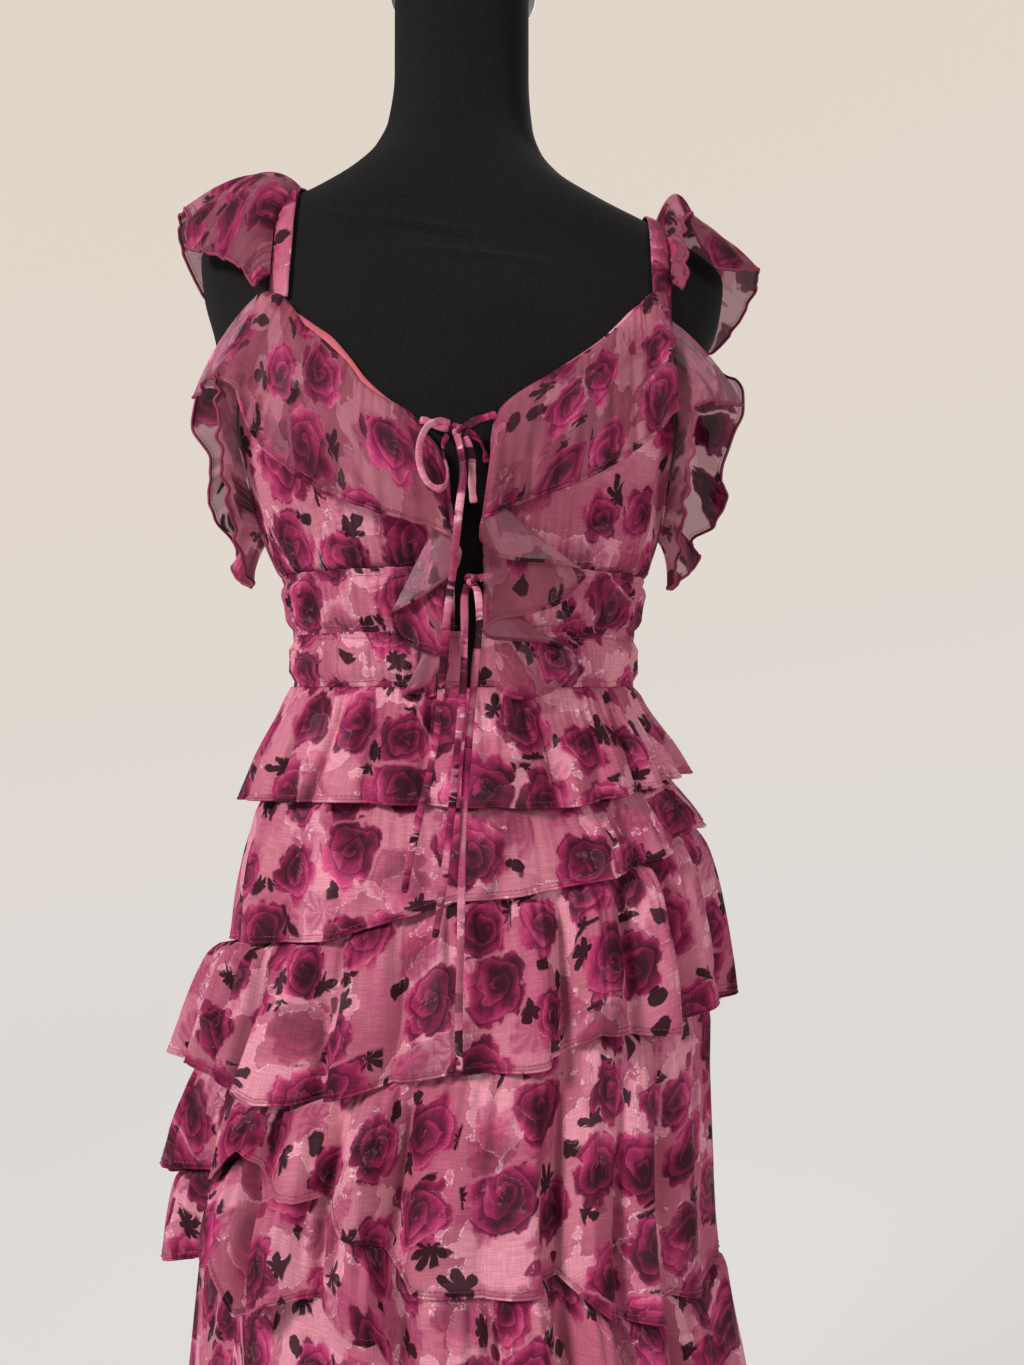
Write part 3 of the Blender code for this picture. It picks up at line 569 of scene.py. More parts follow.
@dataclass(frozen=True)
class Jersey:
    """Matte black jersey stretched over the form, with its fine knit and a little lint."""

    name: str = "black_jersey"

    def build(self) -> bpy.types.Material:
        """Make the material."""
        shade = Shade(self.name)
        where = shade.place()
        fine = shade.grain(where, 850.0, 2.0)
        broad = shade.grain(where, 9.0, 3.0)
        cells = shade.node("ShaderNodeTexVoronoi", None, {"Vector": where, "Scale": 620.0})
        lint = shade.step(fine * 0.7 + broad * 0.3, 0.3, 0.75)
        return shade.finish(shade.surface({
            "Base Color": shade.mix(lint, linear("0A090A"), linear("1B1819")),
            "Roughness": 0.82 + broad * 0.16,
            "Sheen Weight": 0.04, "Sheen Roughness": 0.5, "Specular IOR Level": 0.08,
            "Normal": shade.bump(shade.out(cells) * 0.6 + fine * 0.5, 0.35, 0.0004),
        }))


@dataclass(frozen=True)
class TurnedMetal:
    """Metal of the stand, brushed or painted."""

    name: str
    colour: str
    metallic: float
    roughness: float

    def build(self) -> bpy.types.Material:
        """Make the material."""
        shade = Shade(self.name)
        where = shade.place()
        grain = shade.grain(shade.vector("MULTIPLY", where, (1.0, 1.0, 14.0)), 160.0, 3.0)
        wear = shade.grain(where, 22.0, 4.0)
        base = linear(self.colour)
        dull = tuple(0.6 * part for part in base[:3]) + (1.0,)
        return shade.finish(shade.surface({
            "Base Color": shade.mix(shade.step(wear, 0.35, 0.7), dull, base),
            "Metallic": self.metallic, "Roughness": self.roughness + grain * 0.14,
            "Normal": shade.bump(grain, 0.15, 0.0003),
        }))


@dataclass(frozen=True)
class PaleWall:
    """A wall lit evenly from within, warm above and cooler towards the floor."""

    name: str = "pale_wall"
    high: str = "E2D5C8"
    middle: str = "E1D9D1"
    low: str = "DEDCDB"

    def build(self) -> bpy.types.Material:
        """Make the material."""
        shade = Shade(self.name)
        x, _, z = shade.split(shade.place())
        rise = shade.step(z - x * 0.15, -4.0, 6.0)
        stops = [(0.0, linear(self.low)), (0.5, linear(self.middle)), (1.0, linear(self.high))]
        return shade.finish(shade.surface({
            "Base Color": (0, 0, 0, 1), "Specular IOR Level": 0.0,
            "Emission Color": shade.ramp(rise, stops), "Emission Strength": 1.0,
        }))


@dataclass(frozen=True)
class PaleFloor:
    """A floor mostly as bright as the wall, with a faint shadow."""

    name: str = "pale_floor"

    def build(self) -> bpy.types.Material:
        """Make the material."""
        shade = Shade(self.name)
        x, y, _ = shade.split(shade.place())
        far = shade.step(shade.polar(x, y)[0], 0.6, 3.6)
        return shade.finish(shade.surface({
            "Base Color": shade.mix(far, (0.2, 0.195, 0.19, 1), (0, 0, 0, 1)),
            "Roughness": 0.9, "Specular IOR Level": 0.0,
            "Emission Color": shade.mix(far, linear("C9C7C5"), linear("DFDAD5")),
            "Emission Strength": 1.0,
        }))


@dataclass(frozen=True)
class Finishes:
    """Every finish of the dress, its form and the room, made once."""

    face: bpy.types.Material
    reverse: bpy.types.Material
    sheer_face: bpy.types.Material
    sheer_reverse: bpy.types.Material
    coral: bpy.types.Material
    thread: bpy.types.Material
    jersey: bpy.types.Material
    cap: bpy.types.Material
    stand: bpy.types.Material
    hem: bpy.types.Material
    wall: bpy.types.Material
    floor: bpy.types.Material

    @classmethod
    def make(cls) -> Finishes:
        """Build all materials."""
        return cls(
            face=PrintedChiffon("printed_chiffon_face").build(),
            reverse=PrintedChiffon("printed_chiffon_reverse", Side.REVERSE).build(),
            sheer_face=PrintedChiffon("sheer_chiffon_face", weight=Weight.SHEER).build(),
            sheer_reverse=PrintedChiffon(
                "sheer_chiffon_reverse", Side.REVERSE, Weight.SHEER
            ).build(),
            coral=PlainCloth("coral_edge", "C8636F", "B0505E").build(),
            thread=PlainCloth("sewing_thread", "8E3455", "6A1D3D", 0.6).build(),
            jersey=Jersey().build(),
            cap=TurnedMetal("cap_metal", "A6A6AA", 1.0, 0.28).build(),
            stand=TurnedMetal("stand_metal", "26262A", 0.3, 0.38).build(),
            hem=PlainCloth("rolled_hem", "93304F", "6A1C3A").build(),
            wall=PaleWall().build(),
            floor=PaleFloor().build(),
        )


def monotone(at: np.ndarray, knots: np.ndarray, values: np.ndarray) -> np.ndarray:
    """Interpolate smoothly with no overshoot.

    Args:
        at: Where to read the curve.
        knots: Rising places of the known values.
        values: The known values.

    Returns:
        The curve's values at each place, held at the ends.
    """
    span = np.diff(knots)
    rise = np.diff(values) / span
    slope = np.zeros_like(values)
    same = rise[:-1] * rise[1:] > 0
    first, second = rise[:-1][same], rise[1:][same]
    slope[1:-1][same] = 2 * first * second / (first + second)
    slope[0], slope[-1] = rise[0], rise[-1]
    at = np.clip(at, knots[0], knots[-1])
    low = np.clip(np.searchsorted(knots, at, side="right") - 1, 0, len(knots) - 2)
    t = (at - knots[low]) / span[low]
    keep = (1 + 2 * t) * (1 - t) ** 2 * values[low] + t * t * (3 - 2 * t) * values[low + 1]
    lean = t * (1 - t) ** 2 * slope[low] - t * t * (1 - t) * slope[low + 1]
    return keep + lean * span[low]


def smooth_rows(rows: np.ndarray | list, count: int) -> np.ndarray:
    """Resample a table's rows to count rows along a Catmull-Rom curve."""
    rows = np.asarray(rows, float)
    padded = np.vstack([2 * rows[0] - rows[1], rows, 2 * rows[-1] - rows[-2]])
    at = np.linspace(0, len(rows) - 1, count)
    low = np.minimum(at.astype(int), len(rows) - 2)
    t = (at - low)[:, None]
    a, b, c, d = (padded[low + i] for i in range(4))
    return 0.5 * (
        2 * b + (c - a) * t + (2 * a - 5 * b + 4 * c - d) * t**2 + (3 * b - a - 3 * c + d) * t**3
    )


def run_along(line: np.ndarray) -> np.ndarray:
    """Distance from a line's first point to each of its points."""
    return np.concatenate([[0], np.cumsum(np.linalg.norm(np.diff(line, axis=0), axis=1))])


def ease(share: np.ndarray) -> np.ndarray:
    """Rise smoothly from 0 to 1 as the share does, and stay there beyond."""
    share = np.clip(share, 0, 1)
    return share * share * (3 - 2 * share)


def shoulder_shift(x: np.ndarray, z: np.ndarray) -> np.ndarray:
    """How far the sloping shoulder line lifts or lowers the form's surface."""
    return -SHOULDER_SLOPE * x * ease((z - 1.24) / 0.09) * ease((1.47 - z) / 0.06)


@dataclass(frozen=True)
class SectionTube:
    """A body of rounded sections: z, half width, front y, back y and centre x for each row."""

    rows: np.ndarray
    sloping: bool

    def read(self, z: np.ndarray) -> list[np.ndarray]:
        """Half width, front, back and centre at each height."""
        return [monotone(z, self.rows[:, 0], self.rows[:, i]) for i in (1, 2, 3, 4)]

    def around(self, degrees: np.ndarray, z: np.ndarray, off: np.ndarray) -> np.ndarray:
        """Place points round the tube.

        Args:
            degrees: From the front, towards +X.
            z: Heights before the shoulder's slope.
            off: How far out from the surface.

        Returns:
            Points, with a last axis of 3.
        """
        degrees, z, off = np.broadcast_arrays(degrees, z, off)
        angle = np.radians(degrees)
        half, front, back, centre = self.read(z)
        power = 2 / SECTION_POWER
        sine, cosine = np.sin(angle), np.cos(angle)
        x = centre + (half + off) * np.sign(sine) * np.abs(sine) ** power
        depth = ((back - front) / 2 + off) * np.sign(cosine) * np.abs(cosine) ** power
        lift = shoulder_shift(x, z) if self.sloping else 0
        return np.stack([x, (front + back) / 2 - depth, z + lift], axis=-1)

    def in_front(self, x: np.ndarray, z: np.ndarray, off: np.ndarray) -> np.ndarray:
        """The points in front of the tube at x and z, off away from its surface."""
        half, front, back, centre = self.read(z - shoulder_shift(x, z))
        share = np.minimum(np.abs((x - centre) / (half + off)), 0.9999)
        depth = ((back - front) / 2 + off) * (1 - share**SECTION_POWER) ** (1 / SECTION_POWER)
        return np.stack([x, (front + back) / 2 - depth, z], axis=-1)


FORM = SectionTube(FORM_ROWS, sloping=True)
CORE = SectionTube(CORE_ROWS, sloping=False)


@dataclass(frozen=True)
class Gathers:
    """Small ridges that run down from a seam, unevenly spaced. Half widths and sizes in mm."""

    pitch: tuple[float, float]
    height: tuple[float, float]
    run: tuple[float, float]
    seed: int
    spacing: tuple[float, float] = (1.15, 1.85)  # from ridge to ridge, in ridge half widths

    def relief(self, along: np.ndarray, down: np.ndarray, wraps: bool = False) -> np.ndarray:
        """Work out how far the ridges stand out.

        Args:
            along: Distance along the seam for each column, in m.
            down: Distance from the seam, rows by columns, in m.
            wraps: Whether the last column meets the first.

        Returns:
            Offsets in m, rows by columns.
        """
        draw = np.random.default_rng(self.seed)
        total = along[-1] * 1000
        relief = np.zeros_like(down)
        place = draw.uniform(0, self.pitch[0])
        while place < total:
            width = draw.uniform(*self.pitch)
            away = np.abs(along * 1000 - place)
            if wraps:
                away = np.minimum(away, total - away)
            near = away < width
            bump = 0.5 + 0.5 * np.cos(np.pi * away[near] / width)
            fade = np.exp(-((np.abs(down[:, near]) * 1000 / draw.uniform(*self.run)) ** 1.3))
            relief[:, near] += draw.uniform(*self.height) / 1000 * bump * fade
            place += width * draw.uniform(*self.spacing)
        return relief


def crease_relief(
    creases: np.ndarray | tuple, across: np.ndarray, down: np.ndarray, unit: float, height: float
) -> np.ndarray:
    """Add up listed soft ridges and troughs.

    Args:
        creases: Rows of start across, start down, end across, end down, half width in mm and
            height in mm, where a trough is below 0.
        across: The sheet's own measure along its columns.
        down: Share of the way down, rows by columns.
        unit: Metres for one unit across.
        height: Metres from share 0 to share 1.

    Returns:
        Offsets in m, rows by columns.
    """
    total = np.zeros(np.broadcast_shapes(across.shape, down.shape))
    for start, top, end, bottom, width, rise in creases:
        run = np.array([(end - start) * unit, (bottom - top) * height])
        x, y = (across - start) * unit, (down - top) * height
        t = (x * run[0] + y * run[1]) / (run @ run)
        held = np.clip(t, 0, 1)
        away = np.hypot(x - held * run[0], y - held * run[1])
        taper = np.sin(np.pi * np.clip(0.12 + 0.76 * held, 0, 1))
        total += rise / 1000 * np.exp(-((away * 1000 / width) ** 2)) * taper
    return total


def surface_normals(points: np.ndarray, wrap: bool) -> np.ndarray:
    """Unit normals of a grid whose rows run down and whose columns run to the right."""
    if wrap:
        across = np.roll(points, -1, axis=1) - np.roll(points, 1, axis=1)
    else:
        across = np.gradient(points, axis=1)
    normal = np.cross(np.gradient(points, axis=0), across)
    return normal / np.maximum(np.linalg.norm(normal, axis=2, keepdims=True), 1e-9)


class Tree(NodeMaker):
    """Builds one Geometry Nodes group with named inputs."""

    def __init__(self, name: str, numbers: dict[str, float], material: str) -> None:
        """Start a group that reads a line of edges as a curve.

        Args:
            name: The group's name.
            numbers: Its number inputs with their usual values.
            material: The name of its material input.
        """
        self.tree = bpy.data.node_groups.new(name, "GeometryNodeTree")
        self.faces = self.tree.interface
        self.faces.new_socket("Geometry", in_out="INPUT", socket_type="NodeSocketGeometry")
        self.faces.new_socket("Geometry", in_out="OUTPUT", socket_type="NodeSocketGeometry")
        self.keys: dict[str, str] = {}
        for key, value in numbers.items():
            made = self.faces.new_socket(key, in_out="INPUT", socket_type="NodeSocketFloat")
            made.default_value = value
            self.keys[key] = made.identifier
        made = self.faces.new_socket(material, in_out="INPUT", socket_type="NodeSocketMaterial")
        self.keys[material] = made.identifier
        self.given = self.node("NodeGroupInput").outputs
        line = self.node("GeometryNodeMeshToCurve", None, {"Mesh": self.given["Geometry"]})
        self.line = line.outputs[0]

    def close(self, made: bpy.types.NodeSocket, material: str) -> Tree:
        """Realize what was made, give it its material and join it to the output."""
        solid = self.node("GeometryNodeRealizeInstances", None, {0: made})
        dressed = self.node(
            "GeometryNodeSetMaterial", None,
            {"Geometry": solid.outputs[0], "Material": self.given[material]},
        )
        self.node("NodeGroupOutput", None, {"Geometry": dressed.outputs[0]})
        return self

    def run(self, piece: bpy.types.Object, inputs: dict) -> None:
        """Run the group on an object and keep the result as its plain mesh.

        Args:
            piece: A mesh object of edges.
            inputs: Values by the input's name.
        """
        modifier = piece.modifiers.new(self.tree.name, "NODES")
        modifier.node_group = self.tree
        for name, value in inputs.items():
            modifier[self.keys[name]] = value
        graph = bpy.context.evaluated_depsgraph_get()
        graph.update()
        made = bpy.data.meshes.new_from_object(piece.evaluated_get(graph))
        old = piece.data
        piece.modifiers.remove(modifier)
        piece.data = made
        bpy.data.meshes.remove(old)
        piece.data.name = piece.name


class HemTrees:
    """The two node groups that finish an edge: a rolled hem and a row of stitches."""

    def __init__(self) -> None:
        """Build both groups."""
        self.rolled = self._rolled_hem()
        self.stitches = self._running_stitch()

    @staticmethod
    def _rolled_hem() -> Tree:
        """A tube along a line of edges, which keeps the line's cloth coordinates."""
        tree = Tree("rolled_hem", {"Hem Radius": 0.0009}, "Cloth")
        ring = tree.node(
            "GeometryNodeCurvePrimitiveCircle", None,
            {"Resolution": 5, "Radius": tree.given["Hem Radius"]},
        )
        tube = tree.node(
            "GeometryNodeCurveToMesh", None,
            {"Curve": tree.line, "Profile Curve": ring.outputs[0], "Fill Caps": True},
        )
        smooth = tree.node("GeometryNodeSetShadeSmooth", None, {0: tube.outputs[0]})
        return tree.close(smooth.outputs[0], "Cloth")

    @staticmethod
    def _running_stitch() -> Tree:
        """Short thread stitches set along a line of edges."""
        sizes = {"Stitch Pitch": 0.0030, "Stitch Length": 0.0021, "Thread Radius": 0.00022}
        tree = Tree("running_stitch", sizes, "Thread")
        even = tree.node(
            "GeometryNodeResampleCurve", {"mode": "LENGTH"},
            {"Curve": tree.line, "Length": tree.given["Stitch Pitch"]},
        )
        stitch = tree.node(
            "GeometryNodeMeshCylinder", None,
            {"Vertices": 4, "Radius": tree.given["Thread Radius"],
             "Depth": tree.given["Stitch Length"]},
        )
        tangent = tree.node("GeometryNodeInputTangent")
        turned = tree.node(
            "FunctionNodeAlignRotationToVector", {"axis": "Z"}, {"Vector": tangent.outputs[0]}
        )
        placed = tree.node(
            "GeometryNodeInstanceOnPoints", None,
            {"Points": even.outputs[0], "Instance": stitch.outputs["Mesh"],
             "Rotation": turned.outputs[0]},
        )
        return tree.close(placed.outputs[0], "Thread")


@dataclass
class Workroom:
    """What every piece needs: the finishes, the hem trees and the collection."""

    finishes: Finishes
    hems: HemTrees
    collection: bpy.types.Collection

    def add(self, name: str, mesh: bpy.types.Mesh, slot: str) -> bpy.types.Object:
        """Put a mesh in the scene as a piece that rides on the object's one body."""
        piece = bpy.data.objects.new(name, mesh)
        self.collection.objects.link(piece)
        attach(piece, BODY)
        return piece

    def stand_in(
        self, node: str, mesh: bpy.types.Mesh, slot: str, finish: bpy.types.Material
    ) -> bpy.types.Object:
        """Put a finished mesh in the scene in place of a CAD node."""
        piece = self.add(mesh.name, mesh, slot)
        piece.data.materials.append(finish)
        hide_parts(node)
        return piece

    def line_mesh(
        self, name: str, lines: list[tuple[np.ndarray, np.ndarray, bool]]
    ) -> bpy.types.Mesh:
        """Make a mesh of edges only.

        Args:
            name: The mesh's name.
            lines: Points, their cloth coordinates, and whether each line is closed.

        Returns:
            The mesh, with the coordinates as a vector attribute.
        """
        points: list = []
        cloth: list = []
        edges: list = []
        for line, coordinates, closed in lines:
            start = len(points)
            count = len(line)
            points += line.tolist()
            cloth += coordinates.tolist()
            edges += [(start + i, start + i + 1) for i in range(count - 1)]
            if closed:
                edges.append((start + count - 1, start))
        mesh = bpy.data.meshes.new(name)
        mesh.from_pydata(points, edges, [])
        kept = mesh.attributes.new(UV_NAME, "FLOAT_VECTOR", "POINT")
        kept.data.foreach_set("vector", np.array(cloth, np.float32).ravel())
        return mesh

    def sew(
        self, name: str, lines: list[tuple[np.ndarray, np.ndarray, bool]], pitch: float
    ) -> bpy.types.Object:
        """Set stitches along lines, at a pitch in metres."""
        sewn = self.add(name, self.line_mesh(name, lines), "printed_chiffon")
        self.hems.stitches.run(sewn, {"Stitch Pitch": pitch, "Thread": self.finishes.thread})
        return sewn


@dataclass
class Sheet:
    """One sheet of cloth from a grid of points, seam row first."""

    name: str
    points: np.ndarray
    wrap: bool = False
    mirrored: bool = False
    sheer: bool = False
    shift: tuple[float, float] = (0.0, 0.0)
    spread_row: float = 0.7  # share of the way down to the row whose length is the width
    hem: float = 0.0009
    dark_hem: bool = False
    hung_from_top: bool = True
    coral: np.ndarray | None = None
    pieces: list[bpy.types.Object] = field(default_factory=list)

    def cloth_uv(self) -> np.ndarray:
        """Flat coordinates of every point in metres, with a last column that closes a tube."""
        points = self.points
        if self.wrap:
            points = np.concatenate([points, points[:, :1]], axis=1)
        row = points[int(self.spread_row * (len(points) - 1))]
        u = run_along(row)
        drops = np.linalg.norm(np.diff(points, axis=0), axis=2)
        v = -np.concatenate([np.zeros((1, points.shape[1])), np.cumsum(drops, axis=0)])
        if not self.hung_from_top:
            v = v - v[-1]
        flat = np.stack([np.broadcast_to(u, v.shape), v], axis=-1)
        return flat + np.array(self.shift)

    def flat_size(self) -> tuple[float, float]:
        """Width along the hem side and mean height of the flat cut, in metres."""
        flat = self.cloth_uv()
        return float(np.ptp(flat[0, :, 0])), float(np.ptp(flat[:, :, 1], axis=0).mean())

    def mesh(self) -> bpy.types.Mesh:
        """Make the grid's mesh with its UV map, its faces outwards."""
        rows, columns = self.points.shape[:2]
        i = np.arange(rows - 1)[:, None]
        j = np.arange(columns if self.wrap else columns - 1)[None, :]
        k = (j + 1) % columns
        corners = [i * columns + j, (i + 1) * columns + j, (i + 1) * columns + k, i * columns + k]
        spots = [(i, j), (i + 1, j), (i + 1, j + 1), (i, j + 1)]
        if self.mirrored:
            corners, spots = corners[::-1], spots[::-1]
        faces = np.stack(np.broadcast_arrays(*corners), axis=-1).reshape(-1, 4)
        mesh = bpy.data.meshes.new(self.name)
        mesh.from_pydata(self.points.reshape(-1, 3).tolist(), [], faces.tolist())
        flat = self.cloth_uv()
        uv = np.stack([flat[np.broadcast_arrays(*spot)[0], np.broadcast_arrays(*spot)[1]]
                       for spot in spots], axis=2)
        layer = mesh.uv_layers.new(name=UV_NAME)
        layer.data.foreach_set("uv", uv.astype(np.float32).ravel())
        mesh.polygons.foreach_set("use_smooth", np.ones(len(faces), bool))
        if self.coral is not None:
            marks = np.where(self.coral[:, : j.shape[1]].ravel(), 2, 0)
            mesh.polygons.foreach_set("material_index", marks.astype(np.int32))
        return mesh

    def normals(self) -> np.ndarray:
        """Unit normals that point away from the form."""
        normal = surface_normals(self.points, self.wrap)
        return -normal if self.mirrored else normal

    def build(self, room: Workroom, stands_for: str, inset: float = 0.0034) -> bpy.types.Object:
        """Make the shell, its rolled hem and its stitches.

        Args:
            room: The workroom.
            stands_for: The CAD node that this sheet replaces.
            inset: How far the stitches lie above the hem.

        Returns:
            The sheet's object.
        """
        kit = room.finishes
        piece = room.add(self.name, self.mesh(), "printed_chiffon")
        face, reverse = (
            (kit.sheer_face, kit.sheer_reverse) if self.sheer else (kit.face, kit.reverse)
        )
        for material in (face, reverse, kit.coral, kit.coral):
            piece.data.materials.append(material)
        shell = piece.modifiers.new("Shell", "SOLIDIFY")
        shell.thickness = SHELL
        shell.offset = 0
        shell.use_rim = True
        shell.material_offset = 1
        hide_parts(stands_for)
        if self.hem:
            self._finish_hem(room, kit.hem if self.dark_hem else face, inset)
        return piece

    def _finish_hem(self, room: Workroom, cloth: bpy.types.Material, inset: float) -> None:
        """Roll the hem and stitch it."""
        normal = self.normals()
        flat = self.cloth_uv()[:, : self.points.shape[1]]
        flat = np.concatenate([flat, np.zeros(flat.shape[:2] + (1,))], axis=2)
        up = self.points[-2] - self.points[-1]
        up /= np.linalg.norm(up, axis=1, keepdims=True)
        stitch = self.points[-1] + up * inset + normal[-1] * (SHELL / 2 + THREAD_LIFT)
        edge = room.line_mesh(f"{self.name}_hem", [(self.points[-1], flat[-1], self.wrap)])
        rolled = room.add(edge.name, edge, "printed_chiffon")
        room.hems.rolled.run(rolled, {"Hem Radius": self.hem, "Cloth": cloth})
        sewn = room.sew(f"{self.name}_stitches", [(stitch, flat[-1], self.wrap)], 0.003)
        self.pieces += [rolled, sewn]

    def declare(
        self
    ) -> None:
        """Log the piece's name and the flat size it is cut to."""
        flat = self.flat_size()
        LOG.info("%s: cut %.3f x %.3f m", self.name, *flat)


def finished(
    form: bmesh.types.BMesh, mesh: bpy.types.Mesh, sharp: float | None = None
) -> bpy.types.Mesh:
    """Write a form into a mesh, its faces outwards and smooth.

    Args:
        form: The form, which is freed.
        mesh: Where it goes.
        sharp: Angle in degrees past which an edge stays sharp.

    Returns:
        The mesh.
    """
    bmesh.ops.recalc_face_normals(form, faces=form.faces)
    form.to_mesh(mesh)
    form.free()
    mesh.shade_smooth()
    if sharp is not None:
        mesh.set_sharp_from_angle(angle=math.radians(sharp))
    return mesh


def turned(name: str, profile: list[tuple[float, float]], segments: int,
           centre: tuple[float, float] = (0.0, 0.0)) -> bpy.types.Mesh:
    """Make a closed solid of revolution about a vertical axis.

    Args:
        name: The mesh's name.
        profile: Radius and height of each point, from the axis back to the axis.
        segments: Sides round the axis.
        centre: The axis's x and y.

    Returns:
        The mesh, its faces outwards.
    """
    form = bmesh.new()
    rings = []
    for radius, z in profile:
        count = segments if radius > 0 else 1
        turns = [TWO_PI * i / count for i in range(count)]
        rings.append([
            form.verts.new((centre[0] + radius * math.cos(a), centre[1] + radius * math.sin(a), z))
            for a in turns
        ])
    for low, high in zip(rings, rings[1:]):
        for i in range(segments):
            k = (i + 1) % segments
            corners = [low[i % len(low)], low[k % len(low)], high[k % len(high)],
                       high[i % len(high)]]
            form.faces.new(list(dict.fromkeys(corners)))
    return finished(form, bpy.data.meshes.new(name), 35)


def rounded(profile: list[tuple[float, float]], radius: float, steps: int = 4) -> list:
    """Round the inner corners of a turned profile with short quadratic curves."""
    points = np.array(profile, float)
    made = [tuple(points[0])]
    for before, here, after in zip(points, points[1:], points[2:]):
        to_before, to_after = before - here, after - here
        cut = min(radius, np.linalg.norm(to_before) / 2.2, np.linalg.norm(to_after) / 2.2)
        first = here + to_before / np.linalg.norm(to_before) * cut
        last = here + to_after / np.linalg.norm(to_after) * cut
        for t in np.linspace(0, 1, steps + 1):
            made.append(tuple(first * (1 - t) ** 2 + 2 * here * t * (1 - t) + last * t * t))
    made.append(tuple(points[-1]))
    return [(max(0.0, float(r)), float(z)) for r, z in made]


@dataclass
class DressForm:
    """The padded black form on its pole and round base."""

    columns: int = 112
    rings: int = 118
    neck_centre: float = 0.020
    pole_radius: float = 0.0125
    base_radius: float = 0.165
    base_height: float = 0.012
    seat: float = 0.0003  # gap between the form, its cap, the pole and the base
    # Soft folds of the jersey across the chest: degrees, z, degrees, z, half width, height in mm
    chest_folds: tuple[tuple, ...] = (
        (-16, 1.361, 3, 1.347, 2.8, 2.4), (-7, 1.336, 17, 1.328, 2.8, 2.2),
        (-12, 1.351, 8, 1.341, 3.2, -0.8), (28, 1.345, 58, 1.325, 6.0, 0.5),
    )
    creased: tuple[float, float, int] = (1.316, 1.370, 30)  # z from, z to, rings added there
    degree_length: float = 0.0026  # metres of the chest in one degree

    def build(self, room: Workroom) -> None:
        """Build the torso, cap, pole and base."""
        self._torso(room)
        self._stand(room)

    def _torso(self, room: Workroom) -> None:
        """Cover the torso in one smooth skin, closed at both ends."""
        knots = FORM_ROWS[:, 0]
        share = np.linspace(0, len(knots) - 1, self.rings)
        z = np.interp(share, np.arange(len(knots)), knots)
        z = np.unique(np.concatenate([z, np.linspace(*self.creased)]).round(5))[:, None]
        degrees = np.linspace(-180, 180, self.columns, endpoint=False)[None, :]
        off = crease_relief(self.chest_folds, degrees, z, self.degree_length, 1.0)
        points = FORM.around(degrees, z, off)
        mesh = Sheet("form_cover", points[::-1], wrap=True, hem=0).mesh()
        form = bmesh.new()
        form.from_mesh(mesh)
        skin = list(form.verts)
        ends = (
            (skin[: self.columns], self.neck_centre, knots[-1]),
            (skin[-self.columns :], 0.005, knots[0]),
        )
        for ring, y, z_end in ends:
            middle = form.verts.new((0.0, y, z_end))
            for i in range(self.columns):
                form.faces.new((ring[i], ring[(i + 1) % self.columns], middle))
        finished(form, mesh, 50)
        room.stand_in("form_torso", mesh, "black_jersey", room.finishes.jersey)

    def _stand(self, room: Workroom) -> None:
        """Turn the cap, the pole and the base."""
        top = FORM_ROWS[-1, 0] + self.seat
        head = FORM_ROWS[0, 0] - self.seat
        rim, height, pole = self.base_radius, self.base_height, self.pole_radius
        collar = height + 0.030
        foot = collar + self.seat
        parts = [
            ("cap_turned", "neck_cap", "cap_metal", room.finishes.cap, (0.0, self.neck_centre),
             [(0, top), (0.0535, top), (0.0545, top + 0.004), (0.050, top + 0.009),
              (0.020, top + 0.012), (0, top + 0.012)], 0.003),
            ("base_turned", "stand_base", "stand_metal", room.finishes.stand, (0.0, 0.0),
             [(0, 0), (rim, 0), (rim, height - 0.004), (rim - 0.006, height),
              (0.026, height + 0.004), (0.022, collar), (0, collar)], 0.002),
            ("pole_turned", "stand_pole", "stand_metal", room.finishes.stand, (0.0, 0.0),
             [(0, foot), (pole, foot), (pole, head), (0, head)], 0.0005),
        ]
        for name, node, slot, finish, centre, profile, radius in parts:
            mesh = turned(name, rounded(profile, radius), 96, centre)
            room.stand_in(node, mesh, slot, finish)


TIER_ORDER = ("tier_1", "tier_2", "tier_3", "tier_4", "tier_5", "lower_skirt")

# Tiers: degrees from the front, drop of the hem below its datum in m
TIER_HEMS = {
    "tier_1": read_rows("""
        -180 .078; -135 .08; -96 .084; -84 .082; -60 .078; -26 .074; 0 .076; 22 .078; 45 .071;
        56 .068; 70 .064; 90 .063; 135 .07; 180 .078
    """),
    "tier_2": read_rows("""
        -180 .14; -135 .17; -96 .188; -80 .178; -50 .168; -26 .157; -2 .134; 25 .124; 50 .112;
        66 .098; 85 .096; 96 .103; 135 .118; 180 .14
    """),
    "tier_3": read_rows("""
        -180 .262; -135 .272; -96 .276; -86 .262; -78 .264; -68 .251; -62 .264; -54 .246;
        -48 .261; -44 .265; -40 .251; -36 .258; -32 .258; -2 .232; 6 .233; 18 .226; 26 .211;
        36 .218; 48 .22; 60 .21; 76 .21; 86 .226; 96 .236; 135 .25; 180 .262
    """),
    "tier_4": read_rows("""
        -180 .392; -135 .378; -96 .366; -86 .342; -76 .338; -66 .318; -58 .318; -54 .298;
        -48 .308; -43 .288; -39 .298; -36 .311; -28 .306; -22 .309; -17 .322; -12 .328; -6 .35;
        6 .36; 20 .354; 30 .382; 42 .393; 47 .383; 62 .396; 68 .384; 96 .415; 135 .405; 180 .392
    """),
    "tier_5": read_rows("""
        -180 .48; -135 .45; -96 .426; -88 .41; -76 .396; -70 .384; -56 .371; -46 .356; -42 .39;
        -34 .386; -30 .368; -20 .368; -16 .376; -10 .383; -6 .425; 6 .44; 32 .468; 62 .498;
        90 .515; 135 .505; 180 .48
    """),
    "lower_skirt": read_rows("""
        -180 .97; 0 .97; 180 .97
    """),
}

